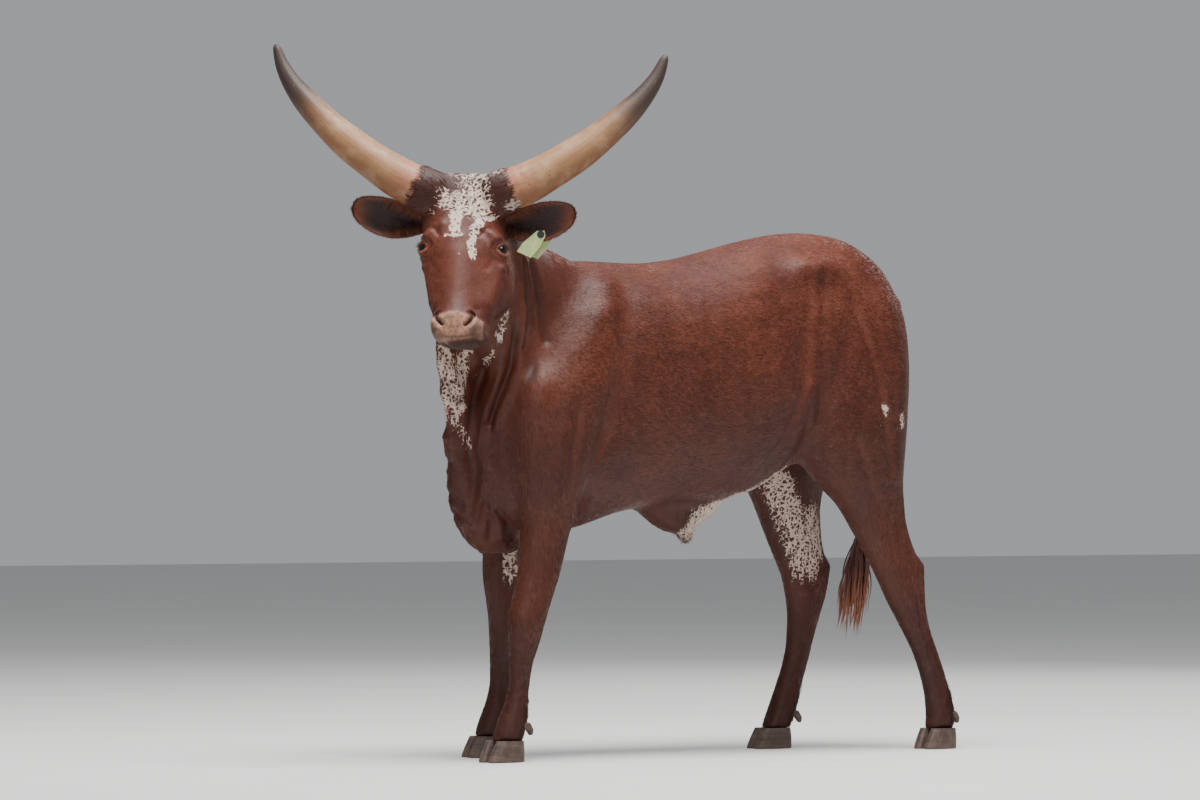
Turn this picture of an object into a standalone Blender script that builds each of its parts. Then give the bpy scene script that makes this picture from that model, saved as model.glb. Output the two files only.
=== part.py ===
import math
import random

import bmesh
import bpy
import numpy as np
from mathutils import Matrix, Vector

# Driving sizes in metres. The animal faces -Y, its left side is +X, +Z is up.
CUT_GAP = 0.0003
FACE_TURN = math.radians(52.0)
FACE_ROLL = math.radians(1.8)
FACE_TILT = math.radians(27.0)
POLL = Vector((0.140, -0.772, 1.522))
REMESH_SIZE = 0.013
FLESH_TRIANGLES = 6800
RING_SIDES = 28
HOOF_TOP = 0.056
EYE_RADIUS = 0.0195
EYE_PLACE = (0.092, 0.206, -0.040)
LID_OPENING_PLACE = (0.107, 0.206, -0.026)
LID_OPENING_SIZE = (0.0165, 0.022, 0.0115)
LID_OPENING_TURN = math.radians(50.0)
NOSTRIL_PLACE = (0.036, 0.424, 0.000)
NOSTRIL_SIZE = (0.0075, 0.030, 0.017)
NOSTRIL_TURN = math.radians(-24.0)
MOUTH_DOWN = 0.462
MOUTH_HALF_WIDTH = 0.066
LOCK_COUNT = 18
LOCK_SEED = 7

# Trunk rings: length position, top, bottom, half width.
TRUNK_RINGS = [
    (-0.675, 1.00, 0.66, 0.050),
    (-0.645, 1.10, 0.61, 0.105),
    (-0.580, 1.19, 0.595, 0.160),
    (-0.480, 1.27, 0.595, 0.195),
    (-0.360, 1.310, 0.600, 0.212),
    (-0.250, 1.312, 0.634, 0.222),
    (-0.120, 1.310, 0.660, 0.236),
    (0.000, 1.325, 0.668, 0.246),
    (0.120, 1.352, 0.676, 0.248),
    (0.220, 1.377, 0.700, 0.238),
    (0.320, 1.396, 0.755, 0.222),
    (0.420, 1.402, 0.800, 0.208),
    (0.520, 1.390, 0.830, 0.192),
    (0.600, 1.354, 0.870, 0.165),
    (0.650, 1.318, 0.940, 0.130),
    (0.685, 1.285, 1.050, 0.080),
]

# Neck rings: centre, half width, half height.
NECK_RINGS = [
    ((0.000, -0.330, 1.080), 0.180, 0.215),
    ((0.008, -0.440, 1.105), 0.155, 0.228),
    ((0.040, -0.550, 1.165), 0.120, 0.205),
    ((0.080, -0.640, 1.240), 0.098, 0.185),
    ((0.118, -0.705, 1.310), 0.088, 0.165),
]

# Dewlap rings: front edge point, depth behind the edge, half thickness.
DEWLAP_RINGS = [
    ((0.052, -0.802, 1.110), 0.150, 0.026),
    ((0.056, -0.800, 1.040), 0.175, 0.030),
    ((0.062, -0.788, 0.960), 0.200, 0.030),
    ((0.050, -0.768, 0.880), 0.210, 0.032),
    ((0.028, -0.752, 0.800), 0.190, 0.036),
    ((0.010, -0.734, 0.710), 0.180, 0.046),
    ((0.000, -0.702, 0.620), 0.180, 0.060),
    ((0.000, -0.660, 0.560), 0.160, 0.052),
    ((0.000, -0.630, 0.540), 0.110, 0.030),
]

# Leg rings: height, centre along the body, half width, half length, sideways place.
NEAR_FORE_RINGS = [
    (1.180, -0.340, 0.040, 0.090, 0.150),
    (1.080, -0.375, 0.060, 0.125, 0.155),
    (0.950, -0.440, 0.072, 0.140, 0.155),
    (0.830, -0.485, 0.076, 0.128, 0.150),
    (0.720, -0.500, 0.072, 0.105, 0.145),
    (0.640, -0.512, 0.062, 0.078, 0.142),
    (0.560, -0.524, 0.055, 0.068, 0.140),
    (0.480, -0.540, 0.049, 0.062, 0.140),
    (0.410, -0.563, 0.047, 0.058, 0.140),
    (0.365, -0.577, 0.048, 0.056, 0.140),
    (0.310, -0.585, 0.040, 0.045, 0.140),
    (0.250, -0.594, 0.030, 0.034, 0.140),
    (0.190, -0.602, 0.029, 0.031, 0.140),
    (0.145, -0.611, 0.034, 0.035, 0.140),
    (0.110, -0.621, 0.040, 0.041, 0.140),
    (0.075, -0.634, 0.040, 0.042, 0.140),
    (0.035, -0.646, 0.040, 0.045, 0.140),
]
FAR_FORE_SHIFT = [
    (1.180, 0.020), (0.950, 0.045), (0.720, 0.060), (0.560, 0.068), (0.480, 0.076),
    (0.410, 0.106), (0.365, 0.126), (0.250, 0.122), (0.150, 0.128), (0.035, 0.130),
]
NEAR_HIND_RINGS = [
    (1.280, 0.470, 0.060, 0.150, 0.105),
    (1.180, 0.500, 0.086, 0.172, 0.118),
    (1.050, 0.500, 0.100, 0.180, 0.128),
    (0.930, 0.490, 0.100, 0.184, 0.132),
    (0.820, 0.486, 0.090, 0.178, 0.136),
    (0.740, 0.505, 0.078, 0.150, 0.138),
    (0.670, 0.548, 0.062, 0.112, 0.140),
    (0.610, 0.574, 0.052, 0.095, 0.140),
    (0.540, 0.612, 0.045, 0.086, 0.140),
    (0.480, 0.646, 0.042, 0.082, 0.140),
    (0.440, 0.660, 0.040, 0.074, 0.140),
    (0.380, 0.680, 0.035, 0.059, 0.140),
    (0.310, 0.713, 0.031, 0.046, 0.140),
    (0.240, 0.747, 0.030, 0.041, 0.140),
    (0.160, 0.775, 0.033, 0.041, 0.140),
    (0.110, 0.787, 0.038, 0.043, 0.140),
    (0.075, 0.786, 0.038, 0.042, 0.140),
    (0.035, 0.780, 0.038, 0.045, 0.140),
]
FAR_HIND_RINGS = [
    (1.280, 0.470, 0.060, 0.150, 0.105),
    (1.180, 0.495, 0.086, 0.172, 0.118),
    (1.050, 0.485, 0.100, 0.178, 0.128),
    (0.930, 0.470, 0.100, 0.180, 0.132),
    (0.820, 0.462, 0.090, 0.168, 0.136),
    (0.740, 0.466, 0.078, 0.138, 0.138),
    (0.670, 0.475, 0.062, 0.110, 0.138),
    (0.600, 0.490, 0.052, 0.096, 0.136),
    (0.540, 0.508, 0.045, 0.088, 0.135),
    (0.480, 0.532, 0.042, 0.082, 0.135),
    (0.440, 0.537, 0.040, 0.074, 0.135),
    (0.380, 0.533, 0.035, 0.058, 0.135),
    (0.310, 0.520, 0.031, 0.046, 0.135),
    (0.240, 0.503, 0.030, 0.041, 0.135),
    (0.160, 0.474, 0.033, 0.042, 0.135),
    (0.110, 0.456, 0.038, 0.043, 0.135),
    (0.075, 0.440, 0.038, 0.042, 0.135),
    (0.035, 0.424, 0.038, 0.045, 0.135),
]

# Head rings: distance down the face, front of face, back of jaw, half width.
HEAD_RINGS = [
    (-0.010, -0.030, -0.085, 0.050),
    (0.015, -0.004, -0.130, 0.092),
    (0.060, 0.006, -0.165, 0.104),
    (0.115, 0.012, -0.195, 0.108),
    (0.185, 0.012, -0.216, 0.110),
    (0.243, 0.008, -0.209, 0.100),
    (0.301, 0.004, -0.178, 0.084),
    (0.359, 0.000, -0.144, 0.071),
    (0.408, 0.002, -0.124, 0.069),
    (0.438, -0.002, -0.114, 0.070),
    (0.460, -0.014, -0.100, 0.058),
    (0.473, -0.032, -0.082, 0.034),
]

# Rounded forms of the head: name, side, down and out place, half sizes; each is made on both sides.
HEAD_FORMS = [
    ("brow", (0.077, 0.185, -0.038), (0.034, 0.040, 0.038)),
    ("cheek", (0.070, 0.240, -0.135), (0.036, 0.070, 0.085)),
    ("nostril_wing", (0.040, 0.430, -0.030), (0.032, 0.033, 0.034)),
]
POLL_RIDGE = ((0.000, 0.030, -0.046), (0.118, 0.055, 0.052))

# The cheeks and jaw lie to the left of the face plane, by this share of their depth.
HEAD_LEAN = 0.24
LEAN_ROWS = (0.10, 0.24)

# Rounded forms of the body: name, place on the left and on the right, half sizes.
BODY_FORMS = [
    ("hook_bone", (0.150, 0.345, 1.298), (-0.150, 0.345, 1.298), (0.058, 0.100, 0.042)),
    ("pin_bone", (0.080, 0.655, 1.190), (-0.080, 0.655, 1.190), (0.040, 0.045, 0.060)),
    ("shoulder_point", (0.150, -0.545, 0.930), (-0.150, -0.545, 0.930), (0.070, 0.075, 0.110)),
    ("hock_point", (0.140, 0.700, 0.492), (-0.140, 0.590, 0.492), (0.024, 0.040, 0.036)),
    ("elbow_point", (0.140, -0.430, 0.665), (-0.140, -0.372, 0.665), (0.038, 0.050, 0.052)),
]
SHEATH_ROWS = [
    (0.0, -0.120, 0.680, 0.030),
    (0.0, -0.040, 0.650, 0.050),
    (0.0, 0.020, 0.622, 0.046),
    (0.0, 0.034, 0.596, 0.032),
    (0.0, 0.036, 0.572, 0.016),
]
SHEATH_BASE = ((0.0, 0.050, 0.668), (0.042, 0.095, 0.055))

# Horn path in the head's own axes (left horn): side, back, up, radius.
HORN_PATH = [
    (0.050, 0.012, -0.052, 0.046),
    (0.105, 0.014, -0.040, 0.055),
    (0.165, 0.020, -0.014, 0.053),
    (0.240, 0.032, 0.031, 0.049),
    (0.320, 0.048, 0.088, 0.043),
    (0.395, 0.064, 0.155, 0.036),
    (0.450, 0.078, 0.215, 0.028),
    (0.485, 0.088, 0.268, 0.020),
    (0.504, 0.094, 0.316, 0.012),
    (0.508, 0.096, 0.330, 0.006),
]

# Ear shape: root and tip in the head's own axes, widest half height, cup depth.
EAR_ROOT = Vector((0.098, 0.052, -0.126))
EAR_TIP = Vector((0.290, 0.052, -0.093))
EAR_HALF_HEIGHT = 0.048
EAR_CUP = 0.026
EAR_THICKNESS = 0.007

# Tail path: centre and radius.
TAIL_PATH = [
    ((0.000, 0.600, 1.268), 0.038),
    ((0.000, 0.672, 1.258), 0.037),
    ((-0.002, 0.712, 1.212), 0.031),
    ((-0.008, 0.733, 1.120), 0.024),
    ((-0.028, 0.740, 1.000), 0.020),
    ((-0.065, 0.745, 0.860), 0.017),
    ((-0.105, 0.744, 0.730), 0.015),
    ((-0.135, 0.738, 0.620), 0.014),
    ((-0.150, 0.732, 0.560), 0.014),
]

# Cuts between the nodes, as folded lines of (along the body, height).
NECK_CUT = [(-0.180, 1.508), (-0.900, 0.515)]
HEAD_CUT = [(0.118, 0.120), (0.118, -0.335), (-0.175, -0.640)]
FORE_CUT = 0.588
HIND_CUT = 0.680

# Hoof rings: height, half width, half length, set back. Feet: place, turn, length, dewclaw setback.
HOOF_RINGS = [
    (0.000, 0.0215, 0.054, -0.004),
    (0.004, 0.0225, 0.056, -0.004),
    (0.030, 0.0215, 0.050, 0.002),
    (HOOF_TOP, 0.0200, 0.041, 0.008),
]
CLAW_SPREAD = 0.0232
DEWCLAW_PATH = [(-0.030, -0.010, 0.010), (0.000, 0.000, 0.011), (0.008, 0.012, 0.0095), (0.010, 0.022, 0.005)]
FEET = {
    "left_foreleg": ((0.140, -0.652), math.radians(8.0), 1.0, 0.068),
    "right_foreleg": ((-0.132, -0.522), math.radians(-4.0), 1.0, 0.068),
    "left_hindleg": ((0.140, 0.774), math.radians(6.0), 0.95, 0.050),
    "right_hindleg": ((-0.135, 0.416), math.radians(-6.0), 1.0, 0.076),
}

# Ear tag in the head's own axes: hole, flap outline, front and back planes, stud and button sizes.
TAG_X = 0.202
TAG_Z = -0.147
TAG_FLAP = [
    (0.211, -0.137), (0.214, -0.151), (0.201, -0.179), (0.178, -0.208),
    (0.141, -0.193), (0.156, -0.170), (0.192, -0.138),
]
TAG_FRONT = 0.030
TAG_BACK = 0.073
TAG_SHEET = 0.0025
TAG_STUD_RADIUS = 0.0040
TAG_BUTTON_RADIUS = 0.009
TAG_CAP_RADIUS = 0.010
TAG_BACK_SHIFT = (0.016, -0.002)

# Brush core under the locks: shift from the tail's end and radius.
SWITCH_CORE = [
    ((0.000, 0.000, 0.000), 0.014),
    ((-0.002, -0.002, -0.030), 0.019),
    ((-0.006, -0.006, -0.075), 0.020),
    ((-0.010, -0.010, -0.115), 0.012),
    ((-0.011, -0.011, -0.130), 0.004),
]
DEWCLAW_HEIGHT = 0.092
DEWCLAW_SPREAD = 0.019

COATS = {
    "torso": (0.20, 0.050, 0.032),
    "horn": (0.62, 0.42, 0.26),
    "ear": (0.12, 0.030, 0.020),
    "eye": (0.012, 0.008, 0.006),
    "hoof": (0.16, 0.095, 0.060),
    "tag": (0.66, 0.72, 0.38),
}


def clearScene():
    for item in list(bpy.data.objects):
        bpy.data.objects.remove(item, do_unlink=True)


def makeCollection(name):
    group = bpy.data.collections.new(name)
    bpy.context.scene.collection.children.link(group)
    return group


def makeMaterial(name, colour):
    material = bpy.data.materials.new(name)
    material.use_nodes = True
    shader = material.node_tree.nodes["Principled BSDF"]
    shader.inputs["Base Color"].default_value = (*colour, 1.0)
    shader.inputs["Roughness"].default_value = 0.6
    return material


def meshObject(name, verts, faces, group):
    mesh = bpy.data.meshes.new(name)
    mesh.from_pydata([tuple(v) for v in verts], [], faces)
    mesh.update()
    item = bpy.data.objects.new(name, mesh)
    group.objects.link(item)
    bm = bmesh.new()
    bm.from_mesh(mesh)
    bmesh.ops.recalc_face_normals(bm, faces=bm.faces)
    bm.to_mesh(mesh)
    bm.free()
    return item


def loftRings(name, rings, group):
    """Joins closed rings of equal point count into one capped body."""
    sides = len(rings[0])
    verts = [p for ring in rings for p in ring]
    faces = []
    for r in range(len(rings) - 1):
        for k in range(sides):
            k2 = (k + 1) % sides
            faces.append((r * sides + k, r * sides + k2, (r + 1) * sides + k2, (r + 1) * sides + k))
    first = len(verts)
    verts.append(sum(rings[0], Vector()) / sides)
    verts.append(sum(rings[-1], Vector()) / sides)
    last = (len(rings) - 1) * sides
    for k in range(sides):
        k2 = (k + 1) % sides
        faces.append((first, k2, k))
        faces.append((first + 1, last + k, last + k2))
    return meshObject(name, verts, faces, group)


def ringAt(centre, across, upward, halfWide, halfUp, halfDown=None, square=1.0, sides=RING_SIDES):
    points = []
    halfDown = halfUp if halfDown is None else halfDown
    for k in range(sides):
        angle = 2.0 * math.pi * k / sides
        c = math.cos(angle)
        s = math.sin(angle)
        cs = math.copysign(abs(c) ** square, c)
        ss = math.copysign(abs(s) ** square, s)
        high = halfUp if s > 0 else halfDown
        points.append(centre + across * (halfWide * cs) + upward * (high * ss))
    return points


def smoothRows(rows, steps):
    """Fills between rows of numbers with a smooth curve through them."""
    data = np.array(rows, dtype=float)
    padded = np.vstack([2 * data[0] - data[1], data, 2 * data[-1] - data[-2]])
    filled = []
    for i in range(1, len(padded) - 2):
        p0, p1, p2, p3 = padded[i - 1], padded[i], padded[i + 1], padded[i + 2]
        for s in range(steps):
            t = s / steps
            filled.append(0.5 * ((2 * p1) + (p2 - p0) * t + (2 * p0 - 5 * p1 + 4 * p2 - p3) * t ** 2
                                 + (3 * p1 - p0 - 3 * p2 + p3) * t ** 3))
    filled.append(padded[-2])
    return filled


def tubeAlong(name, rows, group, sides=16, flat=1.0):
    """A round or flattened tube along a path of (x, y, z, radius) rows."""
    rings = []
    points = [Vector(r[:3]) for r in rows]
    side = None
    for i, row in enumerate(rows):
        ahead = points[min(i + 1, len(points) - 1)]
        behind = points[max(i - 1, 0)]
        along = (ahead - behind).normalized()
        if side is None:
            side = along.cross(Vector((0.0, 1.0, 0.0)))
            if side.length < 0.2:
                side = along.cross(Vector((1.0, 0.0, 0.0)))
        side = (side - along * side.dot(along)).normalized()
        other = along.cross(side).normalized()
        rings.append(ringAt(points[i], side, other, row[3], row[3] * flat, sides=sides))
    return loftRings(name, rings, group)


def ballAt(name, centre, radii, group, frame=None, segments=20, rings=12):
    bpy.ops.mesh.primitive_uv_sphere_add(segments=segments, ring_count=rings, radius=1.0)
    item = bpy.context.active_object
    item.name = name
    turn = frame if frame is not None else Matrix.Identity(3)
    shape = turn.to_4x4() @ Matrix.Diagonal((*radii, 1.0))
    item.data.transform(Matrix.Translation(centre) @ shape)
    moveTo(item, group)
    return item


def moveTo(item, group):
    for old in list(item.users_collection):
        old.objects.unlink(item)
    group.objects.link(item)


def applyAll(item):
    depsgraph = bpy.context.evaluated_depsgraph_get()
    fresh = bpy.data.meshes.new_from_object(item.evaluated_get(depsgraph))
    item.modifiers.clear()
    old = item.data
    item.data = fresh
    if old.users == 0:
        bpy.data.meshes.remove(old)
    item.data.name = item.name


def cutBy(item, cutter, operation="DIFFERENCE", solver="EXACT"):
    modifier = item.modifiers.new("cut", "BOOLEAN")
    modifier.operation = operation
    modifier.solver = solver
    modifier.object = cutter
    applyAll(item)


def grownCopy(item, amount, group, name):
    copy = item.copy()
    copy.data = item.data.copy()
    copy.name = name
    group.objects.link(copy)
    bm = bmesh.new()
    bm.from_mesh(copy.data)
    bm.normal_update()
    shifts = [v.normal * (amount * v.calc_shell_factor()) for v in bm.verts]
    for vert, shift in zip(bm.verts, shifts):
        vert.co += shift
    bm.to_mesh(copy.data)
    bm.free()
    return copy


def looseParts(item):
    """Lists (volume, centre, face indices) of each closed surface of a mesh."""
    bm = bmesh.new()
    bm.from_mesh(item.data)
    bm.faces.ensure_lookup_table()
    seen = set()
    parts = []
    for start in bm.faces:
        if start.index in seen:
            continue
        stack = [start]
        seen.add(start.index)
        faces = []
        while stack:
            face = stack.pop()
            faces.append(face)
            for edge in face.edges:
                for linked in edge.link_faces:
                    if linked.index not in seen:
                        seen.add(linked.index)
                        stack.append(linked)
        volume = 0.0
        centre = Vector()
        for face in faces:
            pts = [v.co for v in face.verts]
            for k in range(1, len(pts) - 1):
                piece = pts[0].dot(pts[k].cross(pts[k + 1])) / 6.0
                volume += piece
                centre += (pts[0] + pts[k] + pts[k + 1]) * (piece / 4.0)
        if abs(volume) > 1e-12:
            centre = centre / volume
        parts.append((volume, centre, [f.index for f in faces]))
    bm.free()
    parts.sort(key=lambda p: -p[0])
    return parts


def takePart(item, keep, name, group):
    """Copies one closed surface of a mesh into an object of its own."""
    copy = item.copy()
    copy.data = item.data.copy()
    copy.name = name
    copy.data.name = name
    group.objects.link(copy)
    bm = bmesh.new()
    bm.from_mesh(copy.data)
    bm.faces.ensure_lookup_table()
    wanted = set(keep)
    bmesh.ops.delete(bm, geom=[f for f in bm.faces if f.index not in wanted], context="FACES")
    bm.to_mesh(copy.data)
    bm.free()
    return copy


def keepLargest(item):
    parts = looseParts(item)
    if len(parts) > 1:
        bm = bmesh.new()
        bm.from_mesh(item.data)
        bm.faces.ensure_lookup_table()
        wanted = set(parts[0][2])
        bmesh.ops.delete(bm, geom=[f for f in bm.faces if f.index not in wanted], context="FACES")
        bm.to_mesh(item.data)
        bm.free()


def cleanMesh(item):
    bm = bmesh.new()
    bm.from_mesh(item.data)
    bmesh.ops.remove_doubles(bm, verts=bm.verts, dist=0.00005)
    bmesh.ops.dissolve_degenerate(bm, edges=bm.edges, dist=0.00005)
    bmesh.ops.triangulate(bm, faces=bm.faces)
    bm.to_mesh(item.data)
    bm.free()


def slabCutter(name, outline, halfWide, frame, group):
    """A thin plate following a folded line, as wide as asked on each side."""
    half = CUT_GAP / 2.0
    left = []
    right = []
    for i, p in enumerate(outline):
        ahead = outline[min(i + 1, len(outline) - 1)]
        behind = outline[max(i - 1, 0)]
        along = Vector((0.0, ahead[0] - behind[0], ahead[1] - behind[1])).normalized()
        normal = Vector((0.0, -along.z, along.y))
        point = Vector((0.0, p[0], p[1]))
        left.append(point + normal * half)
        right.append(point - normal * half)
    loop = left + right[::-1]
    count = len(loop)
    verts = []
    for sideways in (-halfWide, halfWide):
        for p in loop:
            verts.append(frame @ Vector((sideways, p.y, p.z)))
    faces = [tuple(range(count))[::-1], tuple(range(count, 2 * count))]
    for k in range(count):
        k2 = (k + 1) % count
        faces.append((k, k2, count + k2, count + k))
    return meshObject(name, verts, faces, group)


def headFrame():
    turn = Matrix.Rotation(FACE_TURN, 4, "Z") @ Matrix.Rotation(FACE_ROLL, 4, "Y")
    return Matrix.Translation(POLL) @ turn


def leanAt(down):
    """Sideways lean of the head at a distance down the face."""
    return float(np.interp(down, LEAN_ROWS, (0.0, HEAD_LEAN)))


def facePoint(side, down, out):
    """A point given by side, distance down the face and height off the face plane."""
    downward = Vector((0.0, -math.sin(FACE_TILT), -math.cos(FACE_TILT)))
    outward = Vector((0.0, -math.cos(FACE_TILT), math.sin(FACE_TILT)))
    return Vector((side - leanAt(down) * out, 0.0, 0.0)) + downward * down + outward * out


def headTurn():
    return headFrame().to_3x3()


def faceTurn():
    return headTurn() @ Matrix.Rotation(-FACE_TILT, 3, "X")


def makeTrunk(group):
    rings = []
    for y, top, bottom, wide in smoothRows(TRUNK_RINGS, 3):
        middle = bottom + (top - bottom) * 0.50
        centre = Vector((0.0, y, middle))
        rings.append(ringAt(centre, Vector((1, 0, 0)), Vector((0, 0, 1)), wide, top - middle,
                            middle - bottom, square=0.86))
    return loftRings("trunk", rings, group)


def makeNeck(group):
    rows = [(*c, w, h) for c, w, h in NECK_RINGS]
    filled = smoothRows(rows, 3)
    rings = []
    for i, row in enumerate(filled):
        point = Vector(row[:3])
        ahead = Vector(filled[min(i + 1, len(filled) - 1)][:3])
        behind = Vector(filled[max(i - 1, 0)][:3])
        along = (ahead - behind).normalized()
        along.z *= 0.45
        along.normalize()
        across = along.cross(Vector((0, 0, 1))).normalized()
        upward = across.cross(along).normalized()
        rings.append(ringAt(point, across, upward, row[3], row[4], square=0.92))
    return loftRings("neck_core", rings, group)


def makeDewlap(group):
    rings = []
    rows = [(*p, d, t) for p, d, t in DEWLAP_RINGS]
    for row in smoothRows(rows, 3):
        edge = Vector(row[:3])
        inward = Vector((-edge.x * 0.9, 0.16, 0.0)).normalized()
        centre = edge + inward * (row[3] / 2.0)
        across = inward.cross(Vector((0, 0, 1))).normalized()
        rings.append(ringAt(centre, across, inward, row[4], row[3] / 2.0, square=0.95, sides=20))
    return loftRings("dewlap_core", rings, group)


def makeLeg(name, rows, side, group):
    rings = []
    for z, y, wide, long, place in smoothRows(rows, 3):
        centre = Vector((place * side, y, z))
        rings.append(ringAt(centre, Vector((1, 0, 0)), Vector((0, 1, 0)), wide, long, sides=20))
    return loftRings(name, rings, group)


def shiftedRows(rows, shifts):
    heights = [s[0] for s in shifts][::-1]
    moves = [s[1] for s in shifts][::-1]
    out = []
    for z, y, wide, long, place in rows:
        out.append((z, y + float(np.interp(z, heights, moves)), wide, long, place - 0.008))
    return out


def makeHead(group):
    frame = headFrame()
    rings = []
    across = headTurn() @ Vector((1, 0, 0))
    for down, front, back, wide in smoothRows(HEAD_RINGS, 3):
        outward = faceTurn() @ Vector((-leanAt(down), -1, 0))
        middle = (front * 0.42 + back * 0.58)
        centre = frame @ facePoint(0.0, down, middle)
        rings.append(ringAt(centre, across, outward, wide, front - middle, middle - back, square=0.80))
    pieces = [loftRings("head_core", rings, group)]
    pieces.append(ballAt("poll_ridge", frame @ Vector(POLL_RIDGE[0]), POLL_RIDGE[1], group, headTurn()))
    for side in (-1, 1):
        for name, (across, down, out), size in HEAD_FORMS:
            pieces.append(ballAt(name, frame @ facePoint(side * across, down, out), size, group, faceTurn()))
    return pieces


def dropInto(items, name, group):
    bpy.ops.object.select_all(action="DESELECT")
    for item in items:
        item.select_set(True)
    bpy.context.view_layer.objects.active = items[0]
    bpy.ops.object.join()
    whole = bpy.context.active_object
    whole.name = name
    return whole


def makeFlesh(group):
    pieces = [makeTrunk(group), makeNeck(group), makeDewlap(group)]
    pieces += makeHead(group)
    pieces.append(makeLeg("near_fore", NEAR_FORE_RINGS, 1, group))
    pieces.append(makeLeg("far_fore", shiftedRows(NEAR_FORE_RINGS, FAR_FORE_SHIFT), -1, group))
    pieces.append(makeLeg("near_hind", NEAR_HIND_RINGS, 1, group))
    pieces.append(makeLeg("far_hind", FAR_HIND_RINGS, -1, group))
    for name, left, right, size in BODY_FORMS:
        for place in (left, right):
            pieces.append(ballAt(name, Vector(place), size, group))
    pieces.append(tubeAlong("sheath_core", smoothRows(SHEATH_ROWS, 3), group))
    pieces.append(ballAt("sheath_base", Vector(SHEATH_BASE[0]), SHEATH_BASE[1], group))
    whole = dropInto(pieces, "flesh", group)
    remesh = whole.modifiers.new("remesh", "REMESH")
    remesh.mode = "VOXEL"
    remesh.voxel_size = REMESH_SIZE
    smooth = whole.modifiers.new("smooth", "SMOOTH")
    smooth.factor = 0.5
    smooth.iterations = 4
    applyAll(whole)
    keepLargest(whole)
    bm = bmesh.new()
    bm.from_mesh(whole.data)
    bmesh.ops.triangulate(bm, faces=bm.faces)
    bm.to_mesh(whole.data)
    bm.free()
    decimate = whole.modifiers.new("decimate", "DECIMATE")
    decimate.ratio = min(1.0, FLESH_TRIANGLES / len(whole.data.polygons))
    applyAll(whole)
    keepLargest(whole)
    return whole


def cutFlesh(whole, cutters):
    plain = Matrix.Identity(4)
    cuts = [
        slabCutter("cut_neck", NECK_CUT, 0.30, plain, cutters),
        slabCutter("cut_head", HEAD_CUT, 0.30, headFrame(), cutters),
        boxAt("cut_hind", (-0.30, 0.30, HIND_CUT), (0.30, 0.90, HIND_CUT + CUT_GAP), cutters),
    ]
    for side in (-1, 1):
        inner = 0.068 * side
        outer = 0.30 * side
        cuts.append(boxAt("cut_fore", (min(inner, outer), -0.68, FORE_CUT),
                          (max(inner, outer), -0.28, FORE_CUT + CUT_GAP), cutters))
    for cutter in cuts:
        cutBy(whole, cutter)
    cleanMesh(whole)


def boxAt(name, low, high, group):
    bpy.ops.mesh.primitive_cube_add(size=1.0)
    item = bpy.context.active_object
    item.name = name
    size = [high[i] - low[i] for i in range(3)]
    middle = [(high[i] + low[i]) / 2.0 for i in range(3)]
    item.data.transform(Matrix.Translation(middle) @ Matrix.Diagonal((*size, 1.0)))
    moveTo(item, group)
    return item


def nameParts(whole, group):
    """Gives each large closed piece of the cut flesh its own node name."""
    parts = {}
    named = []
    for volume, centre, faces in looseParts(whole)[:7]:
        if centre.z < 0.55:
            name = ("left_" if centre.x > 0 else "right_") + ("foreleg" if centre.y < 0 else "hindleg")
        elif centre.y > -0.30:
            name = "torso"
        else:
            name = "neck" if centre.z < 1.26 else "head"
        named.append((name, round(volume, 4), [round(c, 3) for c in centre]))
        if name not in parts:
            parts[name] = takePart(whole, faces, name, group)
    print("flesh pieces", named)
    return parts


def makeEar(side, group):
    """A cupped leaf with thickness, opening forward."""
    frame = headFrame()
    alongCount = 14
    acrossCount = 8
    root = Vector((EAR_ROOT.x * side, EAR_ROOT.y, EAR_ROOT.z))
    tip = Vector((EAR_TIP.x * side, EAR_TIP.y, EAR_TIP.z))
    along = tip - root
    front = []
    back = []
    for i in range(alongCount + 1):
        u = i / alongCount
        grow = min(1.0, 0.36 + 0.64 * math.sin(min(1.0, u / 0.55) * math.pi / 2))
        shut = math.sqrt(max(0.0, 1.0 - max(0.0, (u - 0.50) / 0.50) ** 2.2))
        half = EAR_HALF_HEIGHT * grow * shut + 0.0015
        cup = EAR_CUP * (0.9 * (1.0 - u) + 0.35) * min(1.0, half / 0.02)
        centre = root + along * u
        centre.z -= 0.006 * math.sin(math.pi * u)
        thin = EAR_THICKNESS * (1.25 - 0.6 * u)
        rowFront = []
        rowBack = []
        for j in range(acrossCount + 1):
            v = -1.0 + 2.0 * j / acrossCount
            bend = v * math.radians(62.0)
            y = cup * (math.cos(bend) - math.cos(math.radians(62.0))) * 1.9 - 0.012
            z = half * math.sin(bend) / math.sin(math.radians(62.0))
            edge = 1.0 - 0.55 * abs(v) ** 4
            rowFront.append(frame @ (centre + Vector((0, y - thin * edge * 0.5, z))))
            rowBack.append(frame @ (centre + Vector((0, y + thin * edge * 0.5, z * 1.02))))
        front.append(rowFront)
        back.append(rowBack)
    rings = [f + b[::-1] for f, b in zip(front, back)]
    return loftRings("left_ear" if side > 0 else "right_ear", rings, group)


def makeHorn(side, group):
    frame = headFrame()
    rows = []
    for x, y, z, radius in smoothRows(HORN_PATH, 2):
        point = frame @ Vector((x * side, y, z))
        rows.append((point.x, point.y, point.z, max(radius, 0.004)))
    return tubeAlong("left_horn" if side > 0 else "right_horn", rows, group, sides=16)


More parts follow.
